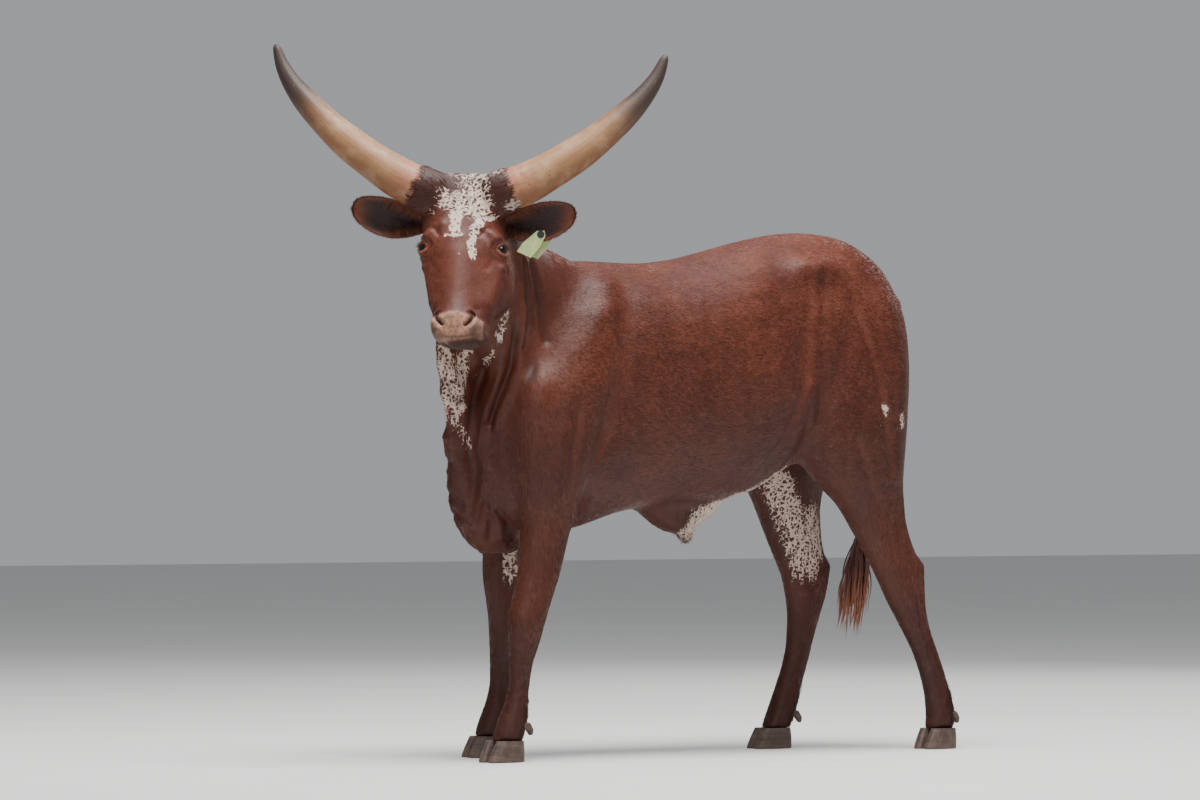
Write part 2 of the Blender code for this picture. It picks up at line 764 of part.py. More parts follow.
def makeClaw(name, foot, turn, side, long, group):
    """One toe's horn: a flat sole, a sloping front wall and an upright inner wall."""
    rings = []
    rotate = Matrix.Rotation(turn, 3, "Z")
    for z, wide, half, back in HOOF_RINGS:
        ring = []
        for k in range(18):
            angle = 2.0 * math.pi * k / 18
            x = math.copysign(abs(math.cos(angle)) ** 0.75, math.cos(angle)) * wide
            y = -math.copysign(abs(math.sin(angle)) ** 0.9, math.sin(angle)) * half * long + back
            if y < 0:
                x -= side * 0.20 * wide * (y / half) ** 2
            local = rotate @ Vector((x + side * CLAW_SPREAD, y, z))
            ring.append(Vector((foot[0], foot[1], 0.0)) + local)
        rings.append(ring)
    return loftRings(name, rings, group)


def makeDewclaw(name, place, turn, group):
    rotate = Matrix.Rotation(turn, 3, "Z")
    rows = []
    for back, down, radius in DEWCLAW_PATH:
        point = Vector(place) + rotate @ Vector((0.0, back, -down))
        rows.append((point.x, point.y, point.z, radius))
    return tubeAlong(name, rows, group, sides=10)


def makeTail(group):
    rows = [(*c, r) for c, r in TAIL_PATH]
    return tubeAlong("tail", smoothRows(rows, 3), group, sides=14)


def makeSwitch(group, locks):
    """Flat tapered locks round a short core, joined into one body."""
    chance = random.Random(LOCK_SEED)
    end = Vector(TAIL_PATH[-1][0])
    start = end + Vector((0.0, 0.0, -CUT_GAP))
    coreRows = [(*(start + Vector(shift)), radius) for shift, radius in SWITCH_CORE]
    core = tubeAlong("tail_switch", smoothRows(coreRows, 2), group, sides=12)
    for n in range(LOCK_COUNT):
        angle = 2.0 * math.pi * (n * 0.381966 % 1.0)
        level = n / (LOCK_COUNT - 1.0)
        rootDepth = 0.022 + 0.070 * level
        length = 0.110 + 0.055 * chance.random() + 0.030 * (1.0 - level)
        outward = Vector((math.cos(angle), math.sin(angle), 0.0))
        root = start + Vector((-0.004, -0.004, -rootDepth)) + outward * 0.006
        flare = 0.016 + 0.016 * chance.random()
        sway = Vector((-0.010, -0.014 + 0.02 * chance.random(), 0.0))
        rows = []
        for k in range(7):
            u = k / 6.0
            point = root + outward * (flare * math.sin(u * 1.9)) + sway * (u * u)
            point.z -= length * u
            point.x += 0.004 * math.sin(5.0 * u + n)
            radius = 0.0085 * (1.0 - u) ** 0.75 + 0.0011
            rows.append((point.x, point.y, point.z, radius))
        tubeAlong("lock_%02d" % n, rows, locks, sides=6, flat=0.62)
    modifier = core.modifiers.new("locks", "BOOLEAN")
    modifier.operation = "UNION"
    modifier.operand_type = "COLLECTION"
    modifier.collection = locks
    modifier.solver = "EXACT"
    applyAll(core)
    for item in list(locks.objects):
        bpy.data.objects.remove(item, do_unlink=True)
    keepLargest(core)
    cleanMesh(core)
    return core


def platePiece(name, outline, yFront, yBack, group):
    frame = headFrame()
    verts = []
    for y in (yFront, yBack):
        for x, z in outline:
            verts.append(frame @ Vector((x, y, z)))
    count = len(outline)
    faces = [tuple(range(count)), tuple(range(count, 2 * count))[::-1]]
    for k in range(count):
        k2 = (k + 1) % count
        faces.append((k, count + k, count + k2, k2))
    return meshObject(name, verts, faces, group)


def discPiece(name, x, z, radius, yFront, yBack, group):
    outline = []
    for k in range(16):
        angle = 2.0 * math.pi * k / 16
        outline.append((x + radius * math.cos(angle), z + radius * math.sin(angle)))
    return platePiece(name, outline, yFront, yBack, group)


def faceCutters(cutters):
    """Nostrils, the line of the mouth and the eye openings."""
    frame = headFrame()
    items = []
    for side in (-1, 1):
        turn = faceTurn() @ Matrix.Rotation(side * NOSTRIL_TURN, 3, "Y")
        across, down, out = NOSTRIL_PLACE
        items.append(ballAt("nostril", frame @ facePoint(side * across, down, out),
                            NOSTRIL_SIZE, cutters, turn, 14, 8))
        opening = faceTurn() @ Matrix.Rotation(side * LID_OPENING_TURN, 3, "Z")
        across, down, out = LID_OPENING_PLACE
        items.append(ballAt("lid_opening", frame @ facePoint(side * across, down, out),
                            LID_OPENING_SIZE, cutters, opening, 16, 10))
    mouth = []
    for k in range(13):
        x = -MOUTH_HALF_WIDTH + 2.0 * MOUTH_HALF_WIDTH * k / 12.0
        bow = (x / MOUTH_HALF_WIDTH) ** 2
        mouth.append((x, MOUTH_DOWN - 0.012 * bow, -0.020 - 0.090 * bow))
    rings = []
    for x, down, out in mouth:
        centre = frame @ facePoint(x, down + 0.004, out - 0.012)
        rings.append(ringAt(centre, faceTurn() @ Vector((0, 0, 1)), faceTurn() @ Vector((0, -1, 0)),
                            0.0022, 0.030, sides=8))
    items.append(loftRings("mouth_line", rings, cutters))
    return items


def build():
    clearScene()
    parts = makeCollection("ankole_watusi_bull")
    cutters = makeCollection("cutters")
    locks = makeCollection("locks")
    whole = makeFlesh(cutters)
    cutFlesh(whole, cutters)
    nodes = nameParts(whole, parts)
    head = nodes["head"]
    frame = headFrame()

    for cutter in faceCutters(cutters):
        cutBy(head, cutter)
    for side, word in ((-1, "right_"), (1, "left_")):
        centre = frame @ facePoint(side * EYE_PLACE[0], EYE_PLACE[1], EYE_PLACE[2])
        eye = ballAt(word + "eye", centre, (EYE_RADIUS,) * 3, parts, faceTurn(), 16, 10)
        socket = ballAt("socket", centre, (EYE_RADIUS + CUT_GAP,) * 3, cutters, faceTurn(), 16, 10)
        cutBy(head, socket)
        nodes[word + "eye"] = eye
    keepLargest(head)
    cleanMesh(head)
    grownHead = grownCopy(head, CUT_GAP, cutters, "grown_head")
    for side in (-1, 1):
        horn = makeHorn(side, parts)
        cutBy(horn, grownHead)
        keepLargest(horn)
        cleanMesh(horn)
        nodes[horn.name] = horn
        ear = makeEar(side, parts)
        grownHorn = grownCopy(horn, CUT_GAP * 2, cutters, "grown_horn")
        cutBy(ear, grownHead)
        cutBy(ear, grownHorn)
        keepLargest(ear)
        cleanMesh(ear)
        nodes[ear.name] = ear

    hole = discPiece("tag_hole", TAG_X, TAG_Z, TAG_STUD_RADIUS + CUT_GAP, -0.10, 0.20, cutters)
    cutBy(nodes["left_ear"], hole)
    keepLargest(nodes["left_ear"])
    cleanMesh(nodes["left_ear"])
    front = platePiece("tag_front", TAG_FLAP, TAG_FRONT, TAG_FRONT + TAG_SHEET, parts)
    button = discPiece("tag_button", TAG_X, TAG_Z, TAG_BUTTON_RADIUS, TAG_FRONT - 0.0035, TAG_FRONT + 0.0022, cutters)
    cutBy(front, button, "UNION")
    stud = discPiece("tag_stud", TAG_X, TAG_Z, TAG_STUD_RADIUS, TAG_FRONT + 0.0010, TAG_BACK - CUT_GAP, cutters)
    cutBy(front, stud, "UNION")
    cleanMesh(front)
    backOutline = [(x + TAG_BACK_SHIFT[0], z + TAG_BACK_SHIFT[1]) for x, z in TAG_FLAP]
    back = platePiece("tag_back", backOutline, TAG_BACK, TAG_BACK + TAG_SHEET, parts)
    cap = discPiece("tag_cap", TAG_X, TAG_Z, TAG_CAP_RADIUS, TAG_BACK + 0.0003, TAG_BACK + 0.0060, cutters)
    cutBy(back, cap, "UNION")
    cleanMesh(back)
    nodes["tag_front"] = front
    nodes["tag_back"] = back

    for leg, (foot, turn, long, back) in FEET.items():
        limb = nodes[leg]
        cutBy(limb, boxAt("sole_box", (-0.6, -1.2, -0.2), (0.6, 1.2, HOOF_TOP + CUT_GAP), cutters))
        keepLargest(limb)
        cleanMesh(limb)
        grown = grownCopy(limb, CUT_GAP, cutters, "grown_leg")
        for side, word in ((-1, "right_claw"), (1, "left_claw")):
            claw = makeClaw(leg + "_" + word, foot, turn, side, long, parts)
            cleanMesh(claw)
            nodes[claw.name] = claw
            place = (foot[0] + side * DEWCLAW_SPREAD, foot[1] + back, DEWCLAW_HEIGHT)
            dew = makeDewclaw(leg + "_dew" + word, place, turn, parts)
            cutBy(dew, grown)
            keepLargest(dew)
            cleanMesh(dew)
            nodes[dew.name] = dew

    grownTorso = grownCopy(nodes["torso"], CUT_GAP, cutters, "grown_torso")
    tail = makeTail(parts)
    cutBy(tail, grownTorso)
    cutBy(tail, boxAt("tail_end", (-0.6, 0.4, 0.2), (0.6, 1.2, TAIL_PATH[-1][0][2] + 0.0002), cutters))
    keepLargest(tail)
    cleanMesh(tail)
    nodes["tail"] = tail
    switch = makeSwitch(parts, locks)
    cutBy(switch, boxAt("switch_top", (-0.6, 0.4, TAIL_PATH[-1][0][2] - 0.0001), (0.6, 1.2, 0.8), cutters))
    keepLargest(switch)
    cleanMesh(switch)
    nodes["tail_switch"] = switch

    for name, item in nodes.items():
        cleanMesh(item)
        kind = "torso"
        for word in ("horn", "ear", "eye", "claw", "tag"):
            if word in name:
                kind = "hoof" if word == "claw" else word
        item.data.materials.clear()
        item.data.materials.append(makeMaterial(name + "_surface", COATS[kind]))
    for item in cutters.objects:
        item.hide_render = True
        item.display_type = "WIRE"
    centreOnFloor(list(nodes.values()))
    total = sum(len(item.data.polygons) for item in nodes.values())
    print("nodes", len(nodes), "triangles", total)
    for name, item in nodes.items():
        print(name, len(item.data.polygons))


def centreOnFloor(items):
    low = Vector((1e9, 1e9, 1e9))
    high = Vector((-1e9, -1e9, -1e9))
    for item in items:
        for vert in item.data.vertices:
            for axis in range(3):
                low[axis] = min(low[axis], vert.co[axis])
                high[axis] = max(high[axis], vert.co[axis])
    shift = Vector((-(low.x + high.x) / 2.0, -(low.y + high.y) / 2.0, -low.z))
    for item in items:
        item.data.transform(Matrix.Translation(shift))
    print("moved by", [round(c, 4) for c in shift], "size", [round(c, 3) for c in high - low])


build()
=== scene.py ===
import math
import random

import bmesh
import bpy
import numpy as np
from mathutils import Matrix, Vector


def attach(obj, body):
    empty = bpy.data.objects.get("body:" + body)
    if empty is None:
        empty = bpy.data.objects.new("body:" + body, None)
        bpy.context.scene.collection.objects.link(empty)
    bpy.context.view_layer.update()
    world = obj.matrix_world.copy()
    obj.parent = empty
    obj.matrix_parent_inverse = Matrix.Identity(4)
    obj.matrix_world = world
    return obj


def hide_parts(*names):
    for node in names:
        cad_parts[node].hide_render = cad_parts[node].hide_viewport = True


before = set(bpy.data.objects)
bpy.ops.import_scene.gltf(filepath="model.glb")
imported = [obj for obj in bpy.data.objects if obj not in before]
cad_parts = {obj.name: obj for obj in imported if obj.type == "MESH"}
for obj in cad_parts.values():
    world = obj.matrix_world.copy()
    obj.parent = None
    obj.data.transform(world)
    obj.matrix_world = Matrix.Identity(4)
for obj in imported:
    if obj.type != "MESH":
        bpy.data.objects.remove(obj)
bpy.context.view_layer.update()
print("frame loaded")

# How the head sits: the same sizes as in the solids, in metres and degrees.
headPose = {
    "turn": 52.0,
    "roll": 1.8,
    "tilt": 27.0,
    "eyeDown": 0.2015,
    "eyeOut": -0.040,
    "eyeSide": 0.0945,
    "eyeShift": 0.0078,
    "lean": 0.24,
    "eyeRadius": 0.0195,
    "pollInBody": (0.140, -0.772, 1.522),
}


headTurn = (Matrix.Rotation(math.radians(headPose["turn"]), 4, "Z")
            @ Matrix.Rotation(math.radians(headPose["roll"]), 4, "Y")).to_3x3()
headTilt = math.radians(headPose["tilt"])
faceDown = headTurn @ Vector((0.0, -math.sin(headTilt), -math.cos(headTilt)))
faceOut = headTurn @ Vector((0.0, -math.cos(headTilt), math.sin(headTilt)))
faceSide = headTurn @ Vector((1.0, 0.0, 0.0))
bodyShift = Vector((-0.0726, 0.1373, 0.0))  # from the body's own axes to the frame's
poll = Vector(headPose["pollInBody"]) + bodyShift
headMiddle = np.array([0.0, 0.22, -0.08])  # side, down and out, in the axes of the face


def onFace(side, down, out):
    return poll + faceSide * side + faceDown * down + faceOut * out


def leanAt(down):
    # Sideways lean of the cheeks and jaw for their depth.
    return headPose["lean"] * np.clip((down - 0.10) / 0.14, 0.0, 1.0)


def onHead(x, y, z):
    return poll + headTurn @ Vector((x, y, z))


def inBody(x, y, z):
    return Vector((x, y, z)) + bodyShift


def clearSelection():
    for item in bpy.context.selected_objects:
        item.select_set(False)


def activate(item):
    clearSelection()
    item.select_set(True)
    bpy.context.view_layer.objects.active = item


def applyModifier(item, kind, **values):
    activate(item)
    modifier = item.modifiers.new(kind.lower(), kind)
    for key, value in values.items():
        setattr(modifier, key, value)
    bpy.ops.object.modifier_apply(modifier=modifier.name)


def readArray(items, key, width=3, kind=np.int64):
    flat = np.empty(len(items) * width, dtype=kind)
    items.foreach_get(key, flat)
    return flat.reshape(-1, width)


def readPoints(mesh):
    return readArray(mesh.vertices, "co", kind=np.float32).astype(float)


def writePoints(mesh, points):
    mesh.vertices.foreach_set("co", points.astype(np.float32).ravel())
    mesh.update()


def readNormals(mesh):
    return readArray(mesh.vertex_normals, "vector", kind=np.float32).astype(float)


def readMark(mesh, name):
    return readArray(mesh.attributes[name].data, "value", 1, np.float32)[:, 0]


def placeObject(name, data):
    item = bpy.data.objects.new(name, data)
    bpy.context.scene.collection.objects.link(item)
    return item


def sideName(side, rest):
    return ("left" if side > 0 else "right") + rest


def tubeFaces(rings, count, start=0, closed=True):
    # Faces between rings of points, with a cap on the first ring and, if closed, on the last.
    faces = []
    for ring in range(rings - 1):
        a = start + ring * count
        b = a + count
        for j in range(count):
            k = (j + 1) % count
            faces.append((a + j, a + k, b + k, b + j))
    faces.append(tuple(range(start, start + count))[::-1])
    if closed:
        last = start + (rings - 1) * count
        faces.append(tuple(range(last, last + count)))
    return faces


def faceCoords(points):
    away = points - np.array(poll)
    return np.stack([away @ np.array(faceSide), away @ np.array(faceDown), away @ np.array(faceOut)], 1)


def bodyCoords(points):
    return points - np.array(bodyShift)


def strokeDistance(points, line):
    # Distance of each point to a polyline, in as many dimensions as the line has.
    best = np.full(len(points), 1e9)
    for a, b in zip(line[:-1], line[1:]):
        a = np.array(a, float)
        b = np.array(b, float)
        along = b - a
        share = np.clip(((points - a) @ along) / max(along @ along, 1e-12), 0.0, 1.0)
        best = np.minimum(best, np.linalg.norm(points - a - share[:, None] * along, axis=1))
    return best


def softStep(value, low, high):
    share = np.clip((value - low) / (high - low), 0.0, 1.0)
    return share * share * (3.0 - 2.0 * share)


def bell(value, width):
    return np.exp(-(value / width) ** 2)


def strokeBell(points, line, width):
    return bell(strokeDistance(points, line), width)


# Skin

skinShape = {
    "voxel": 0.0095,
    "overlap": 0.0008,
    "smoothSteps": 9,
    "coatDepth": 0.0015,
    "hipSteps": 36,
}
fleshNodes = ["torso", "neck", "head", "left_foreleg", "right_foreleg", "left_hindleg", "right_hindleg",
              "tail"]


def addBall(name, centre, radii, turn=None, segments=24, rings=16):
    clearSelection()
    bpy.ops.mesh.primitive_uv_sphere_add(segments=segments, ring_count=rings, radius=1.0)
    item = bpy.context.active_object
    item.name = name
    frameTurn = turn if turn is not None else Matrix.Identity(3)
    item.data.transform(Matrix.Translation(centre) @ frameTurn.to_4x4() @ Matrix.Diagonal((*radii, 1.0)))
    return item


def faceTurn():
    return Matrix((faceSide, -faceOut, -faceDown)).transposed()


# The haired skin that runs out along the root of a horn: points and radii in the head's axes.
collarShape = {
    "rows": [(0.050, 0.012, -0.056, 0.052), (0.085, 0.013, -0.048, 0.0585), (0.108, 0.014, -0.039, 0.0595),
             (0.124, 0.016, -0.032, 0.0580), (0.132, 0.017, -0.029, 0.0520)],
    "axis": ((0.050, 0.012, -0.062), (0.132, 0.017, -0.029)),
    "sides": 28,
}


def addCollar(side):
    c = collarShape
    low, high = (onHead(x * side, y, z) for x, y, z in c["axis"])
    axis = (high - low).normalized()
    across = headTurn @ Vector((0.0, 1.0, 0.0))
    across = (across - axis * across.dot(axis)).normalized()
    upward = axis.cross(across)
    points = []
    for x, y, z, radius in c["rows"]:
        centre = onHead(x * side, y, z)
        for k in range(c["sides"]):
            angle = 2.0 * math.pi * k / c["sides"]
            points.append(centre + (across * math.cos(angle) + upward * math.sin(angle)) * radius)
    mesh = bpy.data.meshes.new("collar")
    mesh.from_pydata([tuple(p) for p in points], [], tubeFaces(len(c["rows"]), c["sides"]))
    item = placeObject("collar", mesh)
    fixOutward(item)
    return item


# Balls that fill the eye sockets, the corners of the lips and the chin: places in the face's axes, radii.
fillShape = {
    "eyeBack": 0.004,
    "eye": (0.0205, 0.022, 0.022),
    "lipAt": (0.038, 0.424, -0.024),
    "lipShift": 0.004,
    "lip": (0.022, 0.026, 0.030),
    "chinAt": (0.012, 0.444, -0.066),
    "chin": (0.060, 0.050, 0.022),
}


def gatherFlesh():
    f = fillShape
    copies = []
    for name in fleshNodes:
        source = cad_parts[name]
        copy = placeObject("skin", source.data.copy())
        copy.data.materials.clear()
        mesh = copy.data
        writePoints(mesh, readPoints(mesh) + readNormals(mesh) * skinShape["overlap"])
        copies.append(copy)
    for side in (-1, 1):
        copies.append(addBall("fill", eyeCentre(side) - faceOut * f["eyeBack"], f["eye"], faceTurn()))
        copies.append(addCollar(side))
        across, down, out = f["lipAt"]
        copies.append(addBall("fill", onFace(side * across + f["lipShift"], down, out), f["lip"], faceTurn()))
    copies.append(addBall("fill", onFace(*f["chinAt"]), f["chin"], faceTurn()))
    activate(copies[0])
    for copy in copies:
        copy.select_set(True)
    bpy.ops.object.join()
    return bpy.context.active_object


def largestShell(item):
    # Keeps the mesh's largest connected shell.
    mesh = item.data
    edges = readArray(mesh.edges, "vertices", 2)
    label = np.arange(len(mesh.vertices))
    changed = True
    while changed:
        low = np.minimum(label[edges[:, 0]], label[edges[:, 1]])
        before = label.copy()
        np.minimum.at(label, edges[:, 0], low)
        np.minimum.at(label, edges[:, 1], low)
        label = label[label]
        changed = not np.array_equal(before, label)
    values, counts = np.unique(label, return_counts=True)
    keep = values[np.argmax(counts)]
    bm = bmesh.new()
    bm.from_mesh(mesh)
    bm.verts.ensure_lookup_table()
    bmesh.ops.delete(bm, geom=[v for v in bm.verts if label[v.index] != keep], context="VERTS")
    bm.to_mesh(mesh)
    bm.free()


def refineWhere(item, inside):
    # Splits once the faces whose middle the test accepts.
    bm = bmesh.new()
    bm.from_mesh(item.data)
    bm.faces.ensure_lookup_table()
    middles = np.array([face.calc_center_median()[:] for face in bm.faces])
    chosen = inside(middles)
    edges = {edge for face in bm.faces if chosen[face.index] for edge in face.edges}
    bmesh.ops.subdivide_edges(bm, edges=list(edges), cuts=1, use_grid_fill=True, smooth=0.0)
    bmesh.ops.triangulate(bm, faces=[face for face in bm.faces if len(face.verts) > 4])
    bm.to_mesh(item.data)
    bm.free()


def relax(item, weights, steps, keepVolume=True):
    # Evens the points out where the weights say; a small push back keeps the volume.
    mesh = item.data
    edges = readArray(mesh.edges, "vertices", 2)
    points = readPoints(mesh)
    count = np.maximum(np.bincount(edges.ravel(), minlength=len(points)), 1.0)[:, None]
    for step in range(steps):
        pushBack = -0.51 if step % 2 else -0.49
        for amount in (0.5, pushBack) if keepVolume else (0.5,):
            total = np.zeros_like(points)
            np.add.at(total, edges[:, 0], points[edges[:, 1]])
            np.add.at(total, edges[:, 1], points[edges[:, 0]])
            points += (total / count - points) * (amount * weights[:, None])
    writePoints(mesh, points)


def withinHead(face):
    return (np.abs(face[:, 0]) < 0.17) & (face[:, 1] > -0.05) & (face[:, 1] < 0.56)


def nearHeadMiddle(face, reach):
    return (np.linalg.norm(face - headMiddle, axis=1) < reach) & (face[:, 1] > -0.06)


def makeSkin():
    skin = gatherFlesh()
    skin.name = "skin"
    skin.data.name = "skin"
    applyModifier(skin, "REMESH", mode="VOXEL", voxel_size=skinShape["voxel"], use_smooth_shade=True)
    largestShell(skin)
    applyModifier(skin, "SMOOTH", factor=0.5, iterations=skinShape["smoothSteps"])

    def nearHead(middles):
        face = faceCoords(middles)
        return withinHead(face) & (face[:, 2] > -0.26)

    def nearFace(middles):
        face = faceCoords(middles)
        muzzle = (face[:, 1] > 0.375) & (face[:, 2] > -0.15) & (face[:, 1] < 0.52)
        eyeAt = np.array([0.098, 0.206, -0.035])
        eyes = np.linalg.norm(face - eyeAt, axis=1) < 0.050
        eyes |= np.linalg.norm(face * np.array([-1, 1, 1]) - eyeAt, axis=1) < 0.050
        return (muzzle | eyes) & (np.abs(face[:, 0]) < 0.15)

    def nearThroat(middles):
        body = bodyCoords(middles)
        return (body[:, 1] < -0.52) & (body[:, 2] > 0.54) & (body[:, 2] < 1.34) & ~nearHead(middles)

    body = bodyCoords(readPoints(skin.data))
    hip = np.linalg.norm(np.abs(body) - np.array([0.150, 0.345, 1.298]), axis=1)
    shoulder = np.linalg.norm(np.abs(body) - np.array([0.150, 0.545, 0.930]), axis=1)
    ease = softStep(-hip, -0.17, -0.10) * (body[:, 1] > 0.1)
    ease = ease + softStep(-shoulder, -0.20, -0.12) * (body[:, 1] < 0.0)
    relax(skin, ease, skinShape["hipSteps"], keepVolume=False)
    for test, steps in ((nearThroat, 6), (nearHead, 6), (nearFace, 5)):
        refineWhere(skin, test)
        weights = test(readPoints(skin.data)).astype(float)
        relax(skin, weights, steps)
    print("skin points", len(skin.data.vertices), "faces", len(skin.data.polygons))
    return skin


# Muscles and folds on the flanks: points along the body and up, width, height.
flankForms = [
    ([(-0.28, 1.22), (-0.31, 1.05), (-0.37, 0.86)], 0.034, -0.0055),
    ([(-0.37, 0.86), (-0.42, 0.74), (-0.43, 0.66)], 0.018, -0.0100),
    ([(-0.33, 1.22), (-0.42, 1.08), (-0.50, 0.97)], 0.045, 0.0110),
    ([(-0.36, 1.14), (-0.47, 1.02), (-0.545, 0.94)], 0.026, -0.0040),
    ([(-0.40, 0.98), (-0.44, 0.85), (-0.43, 0.75)], 0.040, 0.0080),
    ([(-0.50, 0.92), (-0.52, 0.80), (-0.53, 0.66)], 0.022, 0.0060),
    ([(-0.47, 0.90), (-0.485, 0.78), (-0.485, 0.66)], 0.012, -0.0055),
    ([(0.36, 1.31), (0.33, 1.20), (0.26, 1.05)], 0.045, -0.0090),
    ([(0.22, 1.22), (0.14, 1.10)], 0.060, -0.0060),
    ([(0.36, 1.32), (0.44, 1.27), (0.55, 1.20)], 0.045, 0.0030),
    ([(0.34, 1.30), (0.31, 1.15), (0.30, 1.00), (0.31, 0.88)], 0.020, 0.0060),
    ([(0.28, 0.98), (0.26, 0.85), (0.24, 0.78)], 0.022, 0.0070),
    ([(0.27, 1.00), (0.22, 0.86), (0.16, 0.75)], 0.014, -0.0050),
    ([(0.45, 1.22), (0.50, 1.05), (0.54, 0.88), (0.57, 0.75)], 0.014, -0.0055),
    ([(0.56, 1.22), (0.60, 1.08), (0.60, 0.90), (0.60, 0.76)], 0.035, 0.0060),
    ([(0.38, 1.18), (0.40, 1.02), (0.43, 0.86)], 0.050, 0.0060),
    ([(0.44, 0.84), (0.50, 0.72), (0.56, 0.62)], 0.012, -0.0040),
]
ribForms = {"first": -0.20, "last": 0.17, "count": 7, "width": 0.020, "height": 0.0008}

# Folds down the throat and chest: body points, width, height.
throatForms = [
    ([(0.151, -0.673, 1.119), (0.070, -0.662, 1.030), (0.050, -0.693, 0.905), (0.040, -0.698, 0.837),
      (0.037, -0.684, 0.785),
      (0.038, -0.672, 0.714), (0.020, -0.673, 0.618)], 0.013, -0.0230),
    ([(0.158, -0.653, 1.078), (0.109, -0.644, 0.998), (0.082, -0.670, 0.904), (0.067, -0.679, 0.816),
      (0.079, -0.668, 0.759),
      (0.064, -0.671, 0.686), (0.036, -0.672, 0.625)], 0.012, 0.0120),
    ([(0.160, -0.640, 1.180), (0.156, -0.624, 1.094), (0.129, -0.619, 1.027), (0.103, -0.641, 0.949),
      (0.088, -0.655, 0.881)],
     0.0085, -0.0120),
    ([(0.165, -0.610, 1.180), (0.158, -0.602, 1.107), (0.141, -0.600, 1.021), (0.126, -0.624, 0.949),
      (0.104, -0.644, 0.889)],
     0.011, 0.0090),
    ([(0.170, -0.575, 1.180), (0.168, -0.570, 1.079), (0.165, -0.580, 0.992),
      (0.150, -0.600, 0.920)], 0.013, -0.0060),
    ([(0.172, -0.622, 1.320), (0.168, -0.612, 1.240), (0.166, -0.608, 1.170),
      (0.160, -0.612, 1.083)], 0.0080, 0.0075),
    ([(0.168, -0.606, 1.310), (0.166, -0.598, 1.240), (0.163, -0.594, 1.170),
      (0.152, -0.594, 1.080)], 0.0075, -0.0105),
    ([(0.163, -0.586, 1.300), (0.162, -0.580, 1.220), (0.160, -0.572, 1.130)], 0.0090, 0.0055),
    ([(0.151, -0.563, 1.290), (0.153, -0.545, 1.202), (0.159, -0.527, 1.097)], 0.0110, -0.0075),
    ([(0.000, -0.742, 0.775), (0.023, -0.737, 0.784), (0.024, -0.725, 0.759), (0.035, -0.702, 0.764),
      (0.036, -0.690, 0.798)],
     0.0085, -0.0150),
    ([(-0.005, -0.728, 0.700), (0.010, -0.719, 0.690), (0.027, -0.702, 0.670),
      (0.026, -0.683, 0.707)], 0.0085, -0.0150),
    ([(-0.005, -0.706, 0.645), (0.012, -0.702, 0.636), (0.020, -0.685, 0.626),
      (0.019, -0.672, 0.649)], 0.0075, -0.0130),
    ([(-0.002, -0.686, 0.607), (-0.017, -0.660, 0.576), (-0.011, -0.636, 0.552)], 0.007, -0.0090),
    ([(0.079, -0.624, 0.649), (0.074, -0.585, 0.618), (0.054, -0.564, 0.583)], 0.009, -0.0080),
    ([(0.065, -0.653, 0.667), (0.062, -0.632, 0.628), (0.048, -0.630, 0.580)], 0.009, -0.0060),
    ([(0.070, -0.640, 0.655), (0.068, -0.608, 0.622), (0.052, -0.596, 0.580)], 0.009, 0.0060),
    ([(0.030, -0.760, 0.840), (0.026, -0.752, 0.815)], 0.020, 0.0090),
    ([(0.012, -0.733, 0.712), (0.012, -0.728, 0.700)], 0.016, 0.0070),
    ([(0.110, -0.790, 1.070), (0.083, -0.793, 1.031), (0.078, -0.782, 0.985)], 0.008, 0.0070),
    ([(0.110, -0.738, 1.070), (0.086, -0.735, 1.018), (0.080, -0.745, 0.985)], 0.008, 0.0070),
    ([(0.110, -0.765, 1.070), (0.087, -0.764, 1.018), (0.080, -0.762, 0.990)], 0.0075, -0.0130),
    ([(0.080, -0.749, 0.985), (0.074, -0.739, 0.965)], 0.012, 0.0120),
    ([(0.068, -0.782, 0.968), (0.063, -0.780, 0.950)], 0.012, 0.0110),
    ([(0.078, -0.764, 0.930), (0.072, -0.730, 0.922)], 0.011, 0.0110),
    ([(0.074, -0.785, 0.944), (0.076, -0.762, 0.944), (0.070, -0.735, 0.944)], 0.006, -0.0100),
    ([(0.070, -0.772, 0.908), (0.066, -0.740, 0.905)], 0.007, -0.0080),
    ([(0.076, -0.765, 0.985), (0.070, -0.762, 0.955)], 0.006, -0.0090),
]
dewlapWaves = {"height": 0.0012, "length": 0.075}

# Forms of the face: side, down and out points, width, height; each is made on both sides.
faceForms = [
    ([(0.050, 0.150, 0.010), (0.085, 0.175, -0.012), (0.108, 0.195, -0.045)], 0.016, 0.0060),
    ([(0.060, 0.165, 0.004), (0.080, 0.190, -0.010)], 0.010, -0.0045),
    ([(0.084, 0.245, -0.050), (0.072, 0.300, -0.050), (0.060, 0.350, -0.050)], 0.012, 0.0055),
    ([(0.092, 0.235, -0.060), (0.084, 0.290, -0.060), (0.070, 0.350, -0.055)], 0.038, 0.0130),
    ([(0.000, 0.200, 0.010), (0.000, 0.330, 0.008), (0.000, 0.390, 0.006)], 0.028, 0.0055),
    ([(0.058, 0.250, -0.010), (0.054, 0.310, -0.020), (0.052, 0.370, -0.020)], 0.020, -0.0022),
    ([(0.000, 0.100, 0.016), (0.000, 0.200, 0.014)], 0.022, -0.0030),
    ([(0.106, 0.280, -0.120), (0.090, 0.320, -0.150)], 0.030, 0.0050),
    ([(0.086, 0.236, -0.020), (0.074, 0.262, -0.018)], 0.007, -0.0050),
    ([(0.100, 0.232, -0.052), (0.090, 0.248, -0.050)], 0.010, 0.0030),
]

